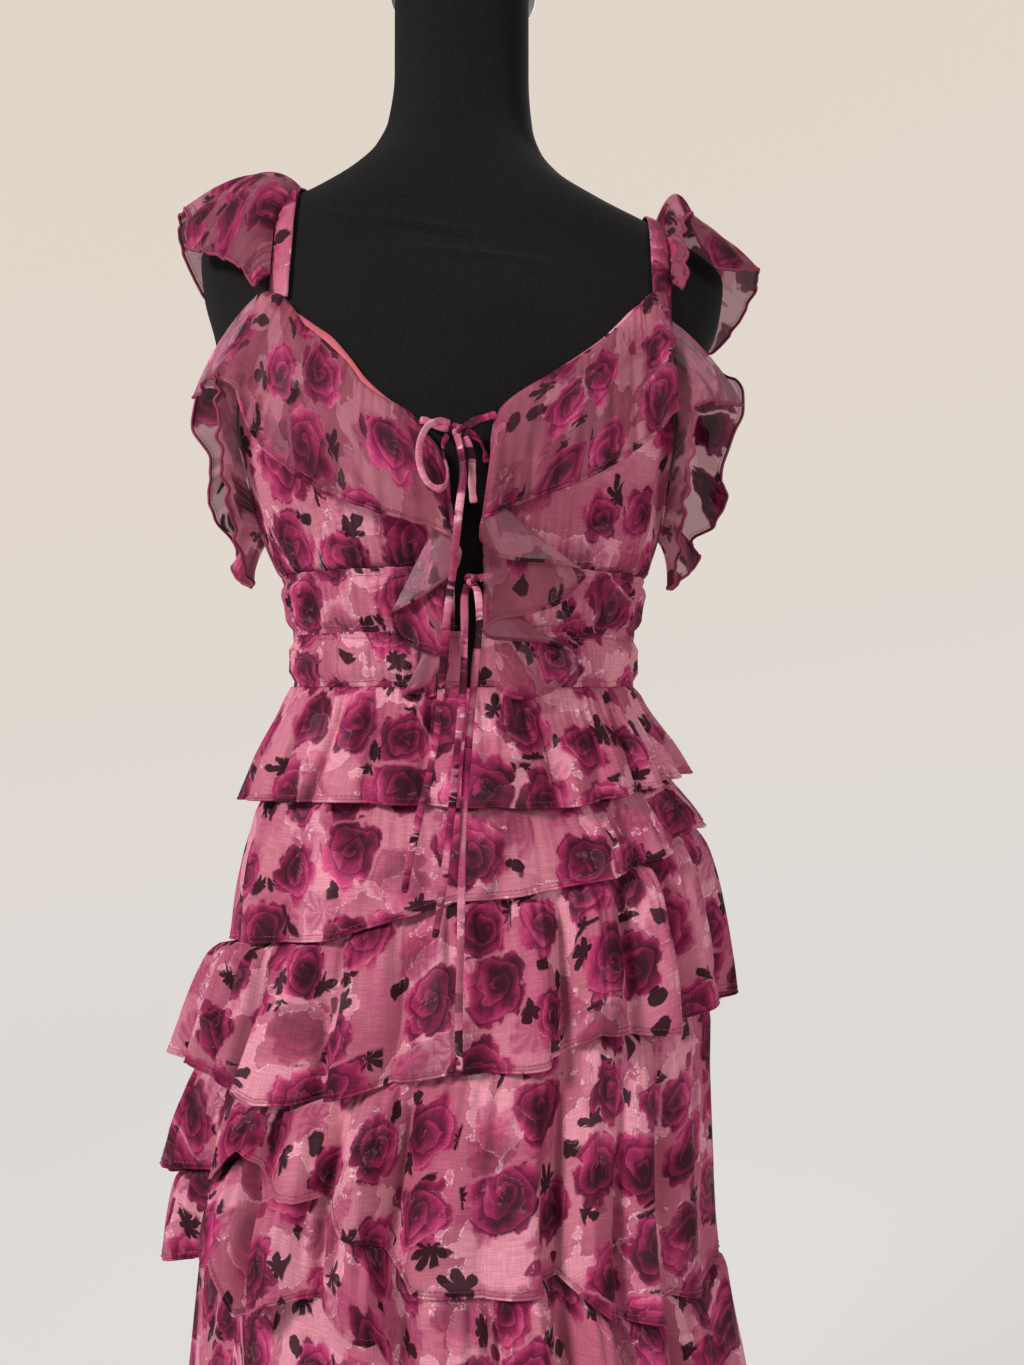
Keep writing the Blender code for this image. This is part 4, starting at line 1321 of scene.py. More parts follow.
# Folds of each tier: degrees of the ridge from the front, width of its left and right flank in
# degrees, and how far it stands out at the hem in mm. Unequal flanks make one side steep.
TIER_FOLDS = {
    "tier_1": read_rows("""
        -84 11 9 13; -62 8 10 12; -45 7 9 10; -29 5 10 12; -14 7 8 8; 1 7 7 9; 15 7 7 7;
        28 6 8 10; 42 7 8 9; 56 7 7 10; 70 7 7 12; 84 7 10 18; 103 9 9 10; 121 9 9 11; 140 9 10 9;
        159 10 9 12; 178 9 10 9; -163 9 9 11; -145 9 9 9; -127 9 9 12; -106 10 9 9
    """),
    "tier_2": read_rows("""
        -80 13 12 6; -55 11 14 7; -31 12 9 6; -11 10 10 5; 10 10 10 6; 31 11 9 7; 50 9 9 8;
        70 11 9 15; 89 8 11 12; 111 12 11 9; 135 12 12 8; 158 11 12 9; -178 12 11 8; -153 12 12 9;
        -129 12 11 8; -105 12 12 8
    """),
    "tier_3": read_rows("""
        -87 10 10 37; -69 8 7 24; -53 8 6 21; -40 5 12 21; -20 6 8 16; -3 9 9 10; 12 8 5 12;
        27 7 9 15; 43 8 6 17; 60 9 8 17; 78 9 10 20; 98 9 9 16; 118 10 10 16; 140 11 10 18;
        162 10 11 15; -176 10 10 17; -153 11 11 16; -131 10 11 19; -109 10 10 20
    """),
    "tier_4": read_rows("""
        -86 9 9 29; -67 9 8 21; -46 9 8 19; -28 8 6 19; -15 6 5 19; -1 6 9 14; 12 9 5 13;
        27 7 7 11; 38 8 6 13; 53 8 9 9; 71 9 9 5; 92 10 10 4; 116 12 12 13; 141 12 12 15;
        168 13 12 13; -166 12 12 15; -140 12 12 14; -113 12 12 17
    """),
    "tier_5": read_rows("""
        -87 9 8 25; -69 8 8 20; -47 9 7 20; -32 8 8 18; -14 8 6 20; 1 6 8 18; 14 7 5 17;
        27 6 7 19; 39 7 7 17; 54 8 8 19; 71 8 8 15; 88 8 9 13; 107 9 10 15; 128 10 10 17;
        150 11 10 15; 172 11 10 17; -167 10 10 15; -146 10 10 17; -126 10 10 15; -106 9 9 18
    """),
    "lower_skirt": read_rows("""
        -84 16 15 22; -52 15 16 17; -21 15 14 20; 8 14 15 16; 37 15 14 20; 66 14 15 18;
        96 15 16 20; 128 16 16 17; 160 16 16 20; -167 16 15 18; -138 15 15 20; -110 13 13 17
    """),
}
# Power of the flare below the seam: small is puffed out at once, 1 is a straight cone
TIER_FLARE = {"tier_1": 0.75, "tier_2": 0.7, "tier_3": 0.25, "tier_4": 0.3, "tier_5": 0.15,
              "lower_skirt": 0.9}
# How far each tucked edge stands out, in mm
TIER_TUCK_OUT = {"tier_1": 0, "tier_2": 2.2, "tier_3": 1.1, "tier_4": 1.5, "tier_5": 0.9,
                 "lower_skirt": 1.2}
TIER_GATHERS = {
    "tier_1": Gathers((3.0, 6.0), (1.6, 4.2), (16, 52), 11),
    "tier_2": Gathers((4.0, 8.0), (1.0, 3.2), (14, 50), 12),
    "tier_3": Gathers((3.0, 7.0), (2.2, 5.8), (14, 60), 13),
    "tier_4": Gathers((3.0, 7.0), (2.2, 5.8), (14, 64), 14),
    "tier_5": Gathers((3.0, 7.0), (2.2, 5.8), (14, 56), 15),
    "lower_skirt": Gathers((5.0, 11.0), (1.8, 5.0), (20, 120), 16),
}
# Creases: degrees and share down at the start and at the end, half width and height in mm
TIER_CREASES = {
    "tier_1": read_rows("""
        -70 .1 -66 .9 3 1.6; -51 0 -54 .8 2.5 -1.4; -36 .1 -38 1 3 -2; -20 0 -23 .9 3 1.5;
        -6 .1 -8 .8 2.5 -1.2; 9 0 8 .9 3 1.3; 21 .1 22 .95 2.5 -1.5; 36 0 35 .7 3 1.5;
        50 .1 49 .9 3 -1.5; 63 0 64 .9 3 1.8; 77 .1 76 .9 3 -1.6; 112 0 113 .9 3 1.5;
        131 .1 130 .8 3 -1.4; 150 0 149 .9 3 1.5; -172 .1 -170 .9 3 1.4; -154 0 -155 .8 3 -1.5;
        -136 .1 -134 .9 3 1.5; -116 0 -117 .9 3 -1.4
    """),
    "tier_2": read_rows("""
        -66 .15 -60 .85 7 1.5; -42 .1 -46 .9 8 -1.4; -19 .3 -24 1 7 1.3; 2 .1 4 .8 7 -1;
        22 .2 19 1 8 1.2; 40 .1 43 .9 6 -1.4; 60 0 63 .9 6 1.8; 79 .1 78 .9 6 -1.6;
        123 .1 120 .9 7 1.4; 147 0 149 .9 7 -1.3; 170 .2 168 .9 7 1.3; -166 .1 -164 .9 7 -1.3;
        -141 0 -143 .9 7 1.4; -117 .1 -115 .9 7 -1.3
    """),
    "tier_3": read_rows("""
        -60 .1 -61 1 3 -2.2; -46 .05 -47 .9 3 -2.4; -30 .3 -27 1 6 -1.8; -34 0 -35 .5 4 1.5;
        -11 .1 -12 1 4 -1.8; -7 .2 -5 .9 7 1.2; 5 0 6 .8 8 -1; 19 .05 19 1 3.5 -2.6;
        23 .3 24 1 4 1.4; 34 0 35 .9 4 -1.8; 51 .1 50 .9 4 -1.6; 69 0 70 .9 4 1.8;
        108 .1 109 .9 5 -1.8; 129 0 128 .9 5 1.8; 151 .1 152 .9 5 -1.7; -166 0 -165 .9 5 1.7;
        -142 .1 -143 .9 5 -1.8; -120 0 -119 .9 5 1.7
    """),
    "tier_4": read_rows("""
        -57 .1 -57 1 3 -2.4; -38 0 -37 .9 3.5 -2.2; -21 .1 -21.5 1 3 -2.6; -8 .1 -9 1 4.5 -3.6;
        -4 .2 -3 .9 5 1.4; 5 0 3 .8 8 1.2; 16 .2 14 .9 6 -1.2; 19 .1 19.5 1 4 -3.2;
        24 .1 25 .9 4 1.6; 33 .1 32 1 3 -2.2; 45 0 46 .9 4 -1.6; 62 .1 61 .9 6 1.4;
        104 .1 105 .9 6 -1.7; 128 0 129 .9 6 1.8; 154 .1 153 .9 6 -1.7; -180 0 -179 .9 6 1.6;
        -153 .1 -154 .9 6 -1.8; -127 0 -126 .9 6 1.7
    """),
    "tier_5": read_rows("""
        -58 .1 -57 1 3.5 -2.2; -39 0 -40 .9 3 -2.2; -23 .1 -22 1 4 -2.4; -6 0 -7 .9 4 -3;
        8 .1 7 1 3 -2.4; 20 0 20 .9 3.5 -2.6; 33 .1 32 .9 3 -2.2; 46 0 47 .9 4 -2;
        62 .1 61 .9 4 -1.8; 80 0 80 .9 4 1.6; 118 .1 117 .9 5 -1.8; 139 0 140 .9 5 1.6;
        161 .1 161 .9 5 -1.8; -178 0 -178 .9 5 1.6; -156 .1 -157 .9 5 -1.8; -136 0 -135 .9 5 1.6;
        -116 .1 -116 .9 5 -1.8
    """),
    "lower_skirt": read_rows("""
        -70 .05 -68 .7 9 -2.4; -60 .2 -63 1 12 2.2; -38 .05 -36 .8 9 -2.6; -30 .3 -29 1 12 2;
        -7 .1 -6 .9 9 -2.4; 0 .2 1 .8 10 1.8; 22 .05 23 .9 9 -2.6; 45 .2 47 1 11 2;
        52 .05 52 .8 9 -2.4; 81 .1 82 .9 9 -2.4; 112 .05 112 .9 10 -2.4; 144 .1 144 .9 10 -2.4;
        150 .3 152 .9 12 2; 176 .05 177 .9 10 -2.4; -152 .1 -152 .9 10 -2.4;
        -124 .05 -124 .9 10 -2.4; -97 .1 -96 .9 10 -2.4
    """),
}


@dataclass
class SkirtTier:
    """One gathered tier, sewn under the hem of the one above."""

    name: str
    columns: int = 830
    rows: int = 22
    crease_gain: float = 2.7
    tuck: float = 0.014  # height hidden under the hem above
    waist_seam: float = 1.0468
    hem_datum: float = 1.05  # height that the drops of the hems are taken from
    seam_datum: float = 1.048  # the same for the seam under the hem above
    seam_off: float = 0.0008  # gap to the skirt's core at the seam
    more_off: float = 0.0042  # added to it lower down
    unevenness: float = 0.0005
    roundness: float = 1.3  # 2 is a soft wave, 1 a round pleat beside a narrow valley
    overhang: float = 0.75  # share of a fold's unequal flanks that its steep side hangs over
    most_overhang: float = 4.2  # degrees
    mean_radius: float = 0.165
    shift: tuple[float, float] = (0.0, 0.0)

    @staticmethod
    def hem_drop(name: str, degrees: np.ndarray) -> np.ndarray:
        """Drop of a tier's hem below its datum at each angle."""
        table = TIER_HEMS[name]
        wrapped = (degrees + 180) % 360 - 180
        return np.interp(wrapped, table[:, 0], table[:, 1])

    def folds(self, degrees: np.ndarray) -> tuple[np.ndarray, np.ndarray]:
        """Height of the folds at the hem in metres, and how far they lean in degrees."""
        total = np.zeros_like(degrees)
        lean = np.zeros_like(degrees)
        for ridge, left, right, depth in TIER_FOLDS[self.name]:
            away = (degrees - ridge + 180) % 360 - 180
            share = np.where(away < 0, -away / left, away / right)
            bump = np.cos(np.pi / 2 * np.clip(share, 0, 1)) ** self.roundness
            tip = np.clip(self.overhang * (left - right), -self.most_overhang, self.most_overhang)
            lean = np.where(depth * bump > total, tip * bump**2, lean)
            total = np.maximum(total, depth * bump)
        return total / 1000, lean

    def points(self) -> np.ndarray:
        """The tier's grid, tucked edge first."""
        degrees = np.linspace(-180, 180, self.columns, endpoint=False)
        order = TIER_ORDER.index(self.name)
        tucked_rows = [] if order == 0 else [-1.0, -0.5]
        below = np.linspace(0, 1, self.rows - len(tucked_rows)) ** 1.15
        share = np.array([*tucked_rows, *below])[:, None]
        exposed = (
            np.full_like(degrees, self.waist_seam) if order == 0
            else self.seam_datum - self.hem_drop(TIER_ORDER[order - 1], degrees)
        )
        bottom = self.hem_datum - self.hem_drop(self.name, degrees)
        grown = np.clip(share, 0, 1)
        hidden = np.clip(-share, 0, 1)
        z = exposed + (bottom - exposed) * grown + self.tuck * hidden
        height, lean = self.folds(degrees)
        stand_off = self.seam_off + self.more_off * np.minimum(1, 1.6 * grown)
        stand_off = stand_off + TIER_TUCK_OUT[self.name] / 1000 * hidden
        off = stand_off + height * grown ** TIER_FLARE[self.name]
        off = off + self._detail(degrees, share, grown, exposed - z)
        return CORE.around(degrees + lean * grown, z, off)

    def _detail(
        self, degrees: np.ndarray, share: np.ndarray, grown: np.ndarray, down: np.ndarray
    ) -> np.ndarray:
        """Gathers under the seam, listed creases, and a slight unevenness."""
        around = np.radians(degrees + 180) * self.mean_radius
        inside = np.clip(1 + share, 0, 1) * np.minimum(1, 0.35 + 6 * grown)
        relief = TIER_GATHERS[self.name].relief(around, down, wraps=True) * inside
        length = float(np.abs(down[-1]).mean())
        unit = math.radians(self.mean_radius)
        creases = crease_relief(TIER_CREASES[self.name], degrees[None, :], share, unit, length)
        angle = np.radians(degrees)
        uneven = np.sin(23 * angle + 5 * grown) + np.sin(37 * angle - 7 * grown + 2)
        creases = creases * self.crease_gain * np.minimum(1, 4 * grown)
        return relief + creases + self.unevenness * uneven * grown

    def build(self, room: Workroom) -> None:
        sheet = Sheet(self.name + "_cloth", self.points(), wrap=True, shift=self.shift)
        piece = sheet.build(room, self.name)
        sheet.declare()


# Upper edges of the bodice: degrees from the front, z in mm
BODICE_TOP_LEFT = read_rows("""
    -90 1152; -86 1158; -78 1175; -70 1197; -62 1222; -55 1248; -50 1272; -45 1296; -42 1303;
    -39 1303; -36 1296; -33 1288; -28 1277; -24 1268; -20 1253; -16.5 1237; -12 1223; -8 1215;
    -5.5 1206; -2.6 1192; -1 1181
""")
BODICE_TOP_RIGHT = read_rows("""
    90 1152; 86 1158; 78 1175; 70 1197; 62 1222; 55 1250; 50 1276; 46 1302; 43 1310; 40 1308;
    36.7 1298; 34 1286; 30.3 1272; 26.5 1261; 22.3 1250; 18 1240; 14 1231; 10.9 1223; 9 1215;
    8 1208; 7.5 1200
""")
BODICE_TOP_BACK = read_rows("""
    90.2 1150; 98 1154; 107 1165; 115 1181; 122 1200; 128 1218; 134 1236; 140 1254; 146 1268;
    151 1268; 158 1254; 168 1244; 180 1241; 192 1244; 202 1254; 209 1268; 214 1268; 220 1254;
    226 1236; 232 1218; 238 1200; 245 1181; 253 1165; 262 1154; 269.8 1150
""")


@dataclass
class BodicePanel:
    """A gathered bodice panel from its top edge to the first elastic."""

    name: str
    top: np.ndarray
    columns: int
    waves: int
    seed: int
    shift: tuple[float, float]
    coral_edge: bool = False
    rows: int = 26
    bottom: float = 1.1221
    off: float = 0.0026
    bust: float = 1.190
    swell: tuple[float, float] = (0.0006, 0.0020)  # least swell over the bust, and its waves

    def points(self) -> tuple[np.ndarray, np.ndarray]:
        """The panel's grid, top edge first, and the degrees of its columns."""
        edge = smooth_rows(self.top, self.columns)
        degrees, upper = edge[:, 0], edge[:, 1] / 1000
        share = np.linspace(0, 1, self.rows)[:, None]
        span = upper - self.bottom
        bust = np.clip(self.bust, self.bottom + 0.3 * span, self.bottom + 0.7 * span)
        upper_half = upper + (bust - upper) * 2 * share
        lower_half = bust + (self.bottom - bust) * (2 * share - 1)
        z = np.where(share < 0.5, upper_half, lower_half)
        along = np.linspace(0, 1, self.columns)
        slit = degrees[np.argmin(np.abs(degrees))]
        swell = np.sin(np.pi * share) * np.clip(np.abs(degrees - slit) / 14, 0, 1)
        wave = 0.5 - 0.5 * np.cos(TWO_PI * self.waves * along)
        least, more = self.swell
        off = self.off + swell * (least + more * wave) * (0.3 + 0.7 * share)
        run = run_along(FORM.around(degrees, np.full_like(degrees, 1.15), self.off))
        low = Gathers((2.6, 5.0), (1.3, 3.2), (12, 48), self.seed)
        high = Gathers((2.8, 5.5), (0.4, 1.1), (5, 18), self.seed + 50)
        off = off + low.relief(run, z - self.bottom) * np.clip((z - self.bottom) / 0.004, 0, 1)
        off = off + high.relief(run, upper - z) * np.clip((upper - z) / 0.003, 0, 1)
        return FORM.around(degrees, z, off), degrees

    def build(self, room: Workroom) -> None:
        points, degrees = self.points()
        coral = None
        if self.coral_edge:
            rows = np.arange(self.rows - 1)[:, None] < 2
            coral = rows & (degrees > -41)[None, :] & (degrees < -10)[None, :]
        sheet = Sheet(self.name + "_cloth", points, shift=self.shift, hem=0, coral=coral,
                      spread_row=0.55, hung_from_top=False)
        piece = sheet.build(room, self.name)
        width, height = sheet.flat_size()
        sheet.declare()


@dataclass
class WaistBand:
    """A puffed band between two elastic casings, open at the centre front."""

    name: str
    low: float
    high: float
    puff: float
    waves: int
    seed: int
    shift: tuple[float, float]
    edges: tuple[float, float] = (6.8, 359.4)  # degrees of the two edges of the slit
    casing: float = 0.0034  # half height of the flat ruched strip on each elastic
    shoulder: float = 0.0060  # height over which the cloth puffs out beside it
    lap: float = 0.0006  # how far each edge runs on over the seam
    off: float = 0.0024
    wander: float = 0.0005  # how far the rows stray up and down
    mean_radius: float = 0.118
    columns: int = 900
    rows: int = 15

    def points(self) -> np.ndarray:
        """The band's grid, upper edge first."""
        degrees = np.linspace(*self.edges, self.columns)
        share = 0.5 + 0.5 * np.cos(np.linspace(0, np.pi, self.rows))[:, None]
        z = self.low - self.lap + (self.high - self.low + 2 * self.lap) * share + 0 * degrees
        along = np.linspace(0, 1, self.columns)
        wave = 0.5 + 0.5 * np.cos(TWO_PI * self.waves * along)
        edge = np.minimum(1, np.minimum(degrees - degrees[0], degrees[-1] - degrees) / 11)
        distance = np.clip(np.minimum(z - self.low, self.high - z), 0, None)
        puffed = ease((distance - self.casing) / self.shoulder)
        off = self.off + puffed * edge * self.puff * (0.55 + 0.35 * wave)
        run = np.radians(degrees - degrees[0]) * self.mean_radius
        broad = Gathers((2.2, 4.2), (1.0, 2.6), (60, 90), self.seed)
        fine = Gathers((1.5, 2.4), (0.8, 1.6), (7, 14), self.seed + 30, (1.0, 1.5))
        off = off + broad.relief(run, distance) * (0.25 + 0.75 * puffed) * edge
        off = off + fine.relief(run, distance) * edge
        z = z + self.wander * np.sin(run / 0.0037) * np.cos(run / 0.011 + share * 4)
        return FORM.around(degrees, z, off)

    def build(self, room: Workroom) -> None:
        points = self.points()
        sheet = Sheet(self.name + "_cloth", points, shift=self.shift, hem=0, spread_row=0.5)
        piece = sheet.build(room, self.name)
        normal = sheet.normals()
        flat = np.zeros((self.columns, 3))
        lines = [(points[row] + normal[row] * (SHELL / 2 + THREAD_LIFT), flat, False)
                 for row in (3, self.rows - 4)]
        sheet.pieces.append(room.sew(f"{self.name}_stitches", lines, 0.0026))
        sheet.declare()


# Neck flounces, in mm, from the strap to the centre and down the slit: seam x, seam z, hem x,
# hem z, and how far the hem stands off the form
NECK_LEFT = read_rows("""
    -128 1308 -149 1255 20; -124 1308 -150 1249 26; -120 1306 -143 1239 30;
    -115 1304 -135 1233 26; -110 1299 -132 1219 20; -104 1291 -126 1206 16; -98 1281 -115 1193 14;
    -88 1272 -100 1181 14; -77 1261 -85 1171 16; -66 1249 -69 1163 19; -56 1235 -53 1156 20;
    -41 1223 -37 1151 17; -29 1216 -22 1147 18; -20 1206 -9 1142 24; -9 1193 0 1137 30;
    -4 1183 4 1128 32; -3 1175 2 1118 28; -3 1169 -14 1107 20; -2.6 1164 -33 1097 13;
    -2.4 1159 -39 1094 10; -2.2 1153 -37 1085 10; -2.2 1147 -32 1076 13; -2 1141 -21 1072 19;
    -2 1135 -11 1069 24; -2 1128 -7 1062 23.5; -2 1121 -15 1051 18.5; -2.4 1113 -26 1045 15;
    -3 1101 -32 1041 12; -3.4 1087 -24 1041 9.5; -4 1072 -13 1042 9.5; -5 1058 -8 1043 9.5
""")
NECK_RIGHT = read_rows("""
    141 1310 143 1230 22; 137 1311 142 1224 24; 132 1310 137 1218 20; 126 1306 130 1210 16;
    119 1297 120 1201 14; 110 1285 107 1190 14; 98 1272 92 1180 16; 86 1261 76 1171 18;
    73 1250 61 1165 18; 59 1240 47 1160 16; 46 1231 36 1156 18; 36 1223 28 1151 24;
    29 1215 22 1148 30; 27 1204 18.5 1142 32; 27 1192 20 1134 30; 26 1183 28 1127 25;
    24 1175 43 1125 19; 22 1168 61 1125 13; 20 1162 79 1122 10; 19.5 1155 80 1114 10;
    19 1149 67 1101 11; 19 1142 46 1094 15; 19 1136 27 1089 22; 20 1130 20 1083 26;
    21 1123 24 1078 22; 22 1114 38 1077 16; 23 1105 59 1076 12; 23.5 1096 76 1068 10;
    24 1087 76 1057 10; 25 1077 64 1046 13; 26 1069 45 1040 17; 27 1062 33 1043 18;
    28 1057 27 1048 15
""")

# Armhole line, front strap base to back strap base: degrees from the front, z in mm
ARMHOLE = read_rows("""
    43 1303; 47 1283; 53 1257; 60 1230; 68 1204; 76 1181; 84 1163; 91 1155; 99 1158; 107 1168;
    115 1184; 122 1203; 128 1221; 134 1239; 139 1253; 142 1262; 144 1268; 146 1273
""")
# Armhole flounce hems, one point for each row of the armhole line: x, y, z in mm
HEM_RIGHT = read_rows("""
    195 -45 1241; 177 -78 1233; 162 -94 1230; 153 -100 1224; 151 -97 1204; 150 -86 1176;
    149 -66 1151; 150 -40 1129; 150 -14 1117; 164 14 1128; 179 36 1143; 176 46 1160; 188 22 1168;
    196 14 1188; 194 24 1209; 210 25 1254; 212 48 1284; 193 84 1306
""")
HEM_LEFT = read_rows("""
    -181 -45 1245; -166 -74 1248; -155 -92 1246; -151 -98 1236; -151 -95 1214; -151 -84 1186;
    -150 -66 1158; -150 -40 1134; -150 -14 1120; -160 14 1122; -176 34 1133; -177 44 1154;
    -189 22 1177; -190 18 1196; -192 26 1221; -205 26 1243; -203 50 1288; -186 84 1314
""")

# Strap ruffles: share of the way along the strap, hem x, y, z in mm, then how far the middle of
# the width rises and leans in towards the neck, in mm
RUFFLE_RIGHT = read_rows("""
    .06 148 -77 1308 2 0; .12 152 -75 1322 4 0; .19 150 -72 1341 8 0; .27 151 -67 1357 16 0;
    .34 156 -60 1364 34 0; .4 163 -54 1352 54 0; .45 172 -48 1340 64 2; .5 188 -40 1335 66 4;
    .55 209 -18 1345 54 3; .6 218 10 1346 42 1; .66 215 34 1335 34 0; .72 208 58 1324 28 0;
    .78 200 80 1318 18 0; .84 186 101 1316 10 0; .9 164 113 1314 5 0
""")
RUFFLE_LEFT = read_rows("""
    .06 -131 -83 1306 2 0; .14 -141 -78 1322 12 0; .22 -157 -68 1333 30 2; .3 -174 -54 1343 52 6;
    .37 -188 -42 1351 60 13; .44 -192 -26 1374 58 18; .5 -201 -4 1394 50 14;
    .57 -211 14 1392 36 8; .64 -215 32 1381 28 4; .71 -212 52 1366 24 2; .78 -204 74 1352 18 0;
    .85 -180 98 1340 12 0; .91 -148 111 1322 4 0
""")


@dataclass
class Flounce:
    """What all flounces share: a ribbon of cloth from a seam line to a wavy hem."""

    name: str
    table: np.ndarray
    mirrored: bool
    seed: int
    shift: tuple[float, float]
    rests_on: str
    columns: int = 400
    rows: int = 19
    dark_hem: bool = False
    seam_off: float = 0.0046
    hem: float = 0.0012
    gather_height: tuple[float, float] = (0.8, 2.2)
    gather_run: tuple[float, float] = (6, 28)
    flutter: float = 0.0013  # height of the long waves at the hem
    flutter_pitch: float = 0.021

    def lines(self) -> tuple[np.ndarray, np.ndarray, np.ndarray]:
        """Seam, middle and hem lines. Each kind of flounce gives its own."""
        raise NotImplementedError

    def points(self) -> np.ndarray:
        """The flounce's grid, seam first, with its gathers and flutter."""
        seam, middle, hem = self.lines()
        share = np.linspace(0, 1, self.rows)[:, None, None]
        grid = seam * (1 - share) ** 2 + 2 * middle * share * (1 - share) + hem * share**2
        run = run_along(grid[self.rows // 3])
        down = np.linalg.norm(grid - grid[:1], axis=2)
        gathers = Gathers((2.5, 5.5), self.gather_height, self.gather_run, self.seed)
        relief = gathers.relief(run, down) * np.clip(down / 0.002, 0, 1)
        angle = run / self.flutter_pitch * TWO_PI
        wave = np.sin(angle + self.seed) + 0.6 * np.sin(angle * 1.7 + 2 * self.seed)
        relief = relief + self.flutter * wave * share[:, :, 0] ** 1.5
        normal = surface_normals(grid, False)
        if self.mirrored:
            normal = -normal
        return grid + normal * relief[:, :, None]

    def build(self, room: Workroom) -> None:
        points = self.points()
        sheet = Sheet(self.name + "_cloth", points, mirrored=self.mirrored, sheer=True,
                      shift=self.shift, spread_row=0.75, hem=self.hem, dark_hem=self.dark_hem)
        piece = sheet.build(room, self.name, inset=0.003)
        width, height = sheet.flat_size()
        sheet.declare()


@dataclass
class NeckFlounce(Flounce):
    """Sewn to the neckline and down the slit."""

    def lines(self) -> tuple[np.ndarray, np.ndarray, np.ndarray]:
        """Seam, middle and hem lines in front of the form."""
        fine = smooth_rows(self.table, self.columns)
        seam = FORM.in_front(fine[:, 0] / 1000, fine[:, 1] / 1000, self.seam_off)
        hem = FORM.in_front(fine[:, 2] / 1000, fine[:, 3] / 1000, fine[:, 4] / 1000)
        half = (seam + hem) / 2
        lift = self.seam_off / 2 + fine[:, 4] / 2000 + np.clip(fine[:, 4] - 6, 1, 14) * 0.00014
        middle = 2 * FORM.in_front(half[:, 0], half[:, 2], lift) - half
        return seam, middle, hem


@dataclass
class ArmholeFlounce(Flounce):
    """Sewn round the armhole from the front strap base to the back one."""

    bow_out: float = 0.006  # how far its middle stands out from a straight line
    bow_up: float = 0.008

    def lines(self) -> tuple[np.ndarray, np.ndarray, np.ndarray]:
        """Seam, middle and hem lines round the armhole."""
        side = -1 if self.mirrored else 1
        line = smooth_rows(ARMHOLE, self.columns)
        seam = FORM.around(side * line[:, 0], line[:, 1] / 1000, self.seam_off)
        hem = smooth_rows(self.table, self.columns) / 1000
        middle = (seam + hem) / 2
        out = middle[:, :2] - np.array([0, 0.005])
        out /= np.linalg.norm(out, axis=1, keepdims=True)
        middle[:, :2] += out * self.bow_out
        middle[:, 2] += self.bow_up
        return seam, middle, hem


STRAP_FRONT = 1.3020  # heights of the straps' two ends
STRAP_BACK = 1.2720


def strap_line(x: float, count: int, off: float) -> np.ndarray:
    """Points over the shoulder at one x, front base to back base, off above the form."""
    rise = np.linspace(1.25, 1.41, 600)
    slope = shoulder_shift(np.array(x), rise)
    half, front, back, _ = FORM.read(rise)
    share = np.abs(x) / half
    keep = share < 0.9995
    root = (1 - share[keep] ** SECTION_POWER) ** (1 / SECTION_POWER) * (back - front)[keep] / 2
    centre = ((front + back) / 2)[keep]
    up = (rise + slope)[keep]
    path = np.concatenate([
        np.stack([centre - root, up], axis=1)[up > STRAP_FRONT],
        np.stack([centre + root, up], axis=1)[up > STRAP_BACK][::-1],
    ])
    run = run_along(path)
    even = np.linspace(0, run[-1], count)
    line = np.stack([np.interp(even, run, path[:, i]) for i in (0, 1)], axis=1)
    along = np.gradient(line, axis=0)
    along /= np.linalg.norm(along, axis=1, keepdims=True)
    line = line + np.stack([-along[:, 1], along[:, 0]], axis=1) * off
    return np.column_stack([np.full(count, x), line])


@dataclass
class StrapRuffle(Flounce):
    """A wing sewn to the strap's outer edge and falling off the shoulder."""

    edge_x: float = 0.0
    over: float = 0.0  # how far the seam runs in over the strap at the shoulder
    strap_off: float = 0.0042

    def lines(self) -> tuple[np.ndarray, np.ndarray, np.ndarray]:
        """Seam, middle and hem lines over the shoulder."""
        fine = smooth_rows(self.table, self.columns)
        count = 201
        line = strap_line(self.edge_x, count, self.strap_off)
        at = np.clip(fine[:, 0], 0, 1) * (count - 1)
        seam = np.stack([np.interp(at, np.arange(count), line[:, i]) for i in range(3)], axis=1)
        rise = ease((fine[:, 0] - 0.16) / 0.16)
        seam[:, 0] -= np.sign(self.edge_x) * self.over * rise
        seam[:, 2] += 0.0022 * rise * min(1.0, self.over / 0.008)
        hem = fine[:, 1:4] / 1000
        middle = (seam + hem) / 2
        middle[:, 2] += fine[:, 4] / 1000
        middle[:, 0] -= np.sign(self.edge_x) * fine[:, 5] / 1000
        return seam, middle, hem


@dataclass
class Strap:
    """A narrow strap, gathered along its length, over the shoulder."""

    name: str
    centre: float
    seed: int
    shift: tuple[float, float]
    width: float = 0.013
    off: float = 0.0026
    columns: int = 240
    rows: int = 9

    def build(self, room: Workroom) -> None:
        across = np.linspace(-0.5, 0.5, self.rows)
        lines = [strap_line(self.centre + self.width * s, self.columns,
                            self.off + 0.001 * (1 - (2 * s) ** 2)) for s in across]
        points = np.array(lines)
        run = run_along(points[self.rows // 2])
        from_edge = (0.5 - np.abs(across))[:, None] * self.width + 0 * run
        puckers = Gathers((2.6, 5.4), (0.25, 0.8), (12, 20), self.seed)
        relief = puckers.relief(run, from_edge)
        points = points + surface_normals(points, False) * relief[:, :, None]
        sheet = Sheet(self.name + "_cloth", points, shift=self.shift, hem=0, spread_row=0.5)
        piece = sheet.build(room, self.name)
        sheet.declare()


TOP_KNOT = (4, -141, 1200)
MID_KNOT = (12, -130, 1112)
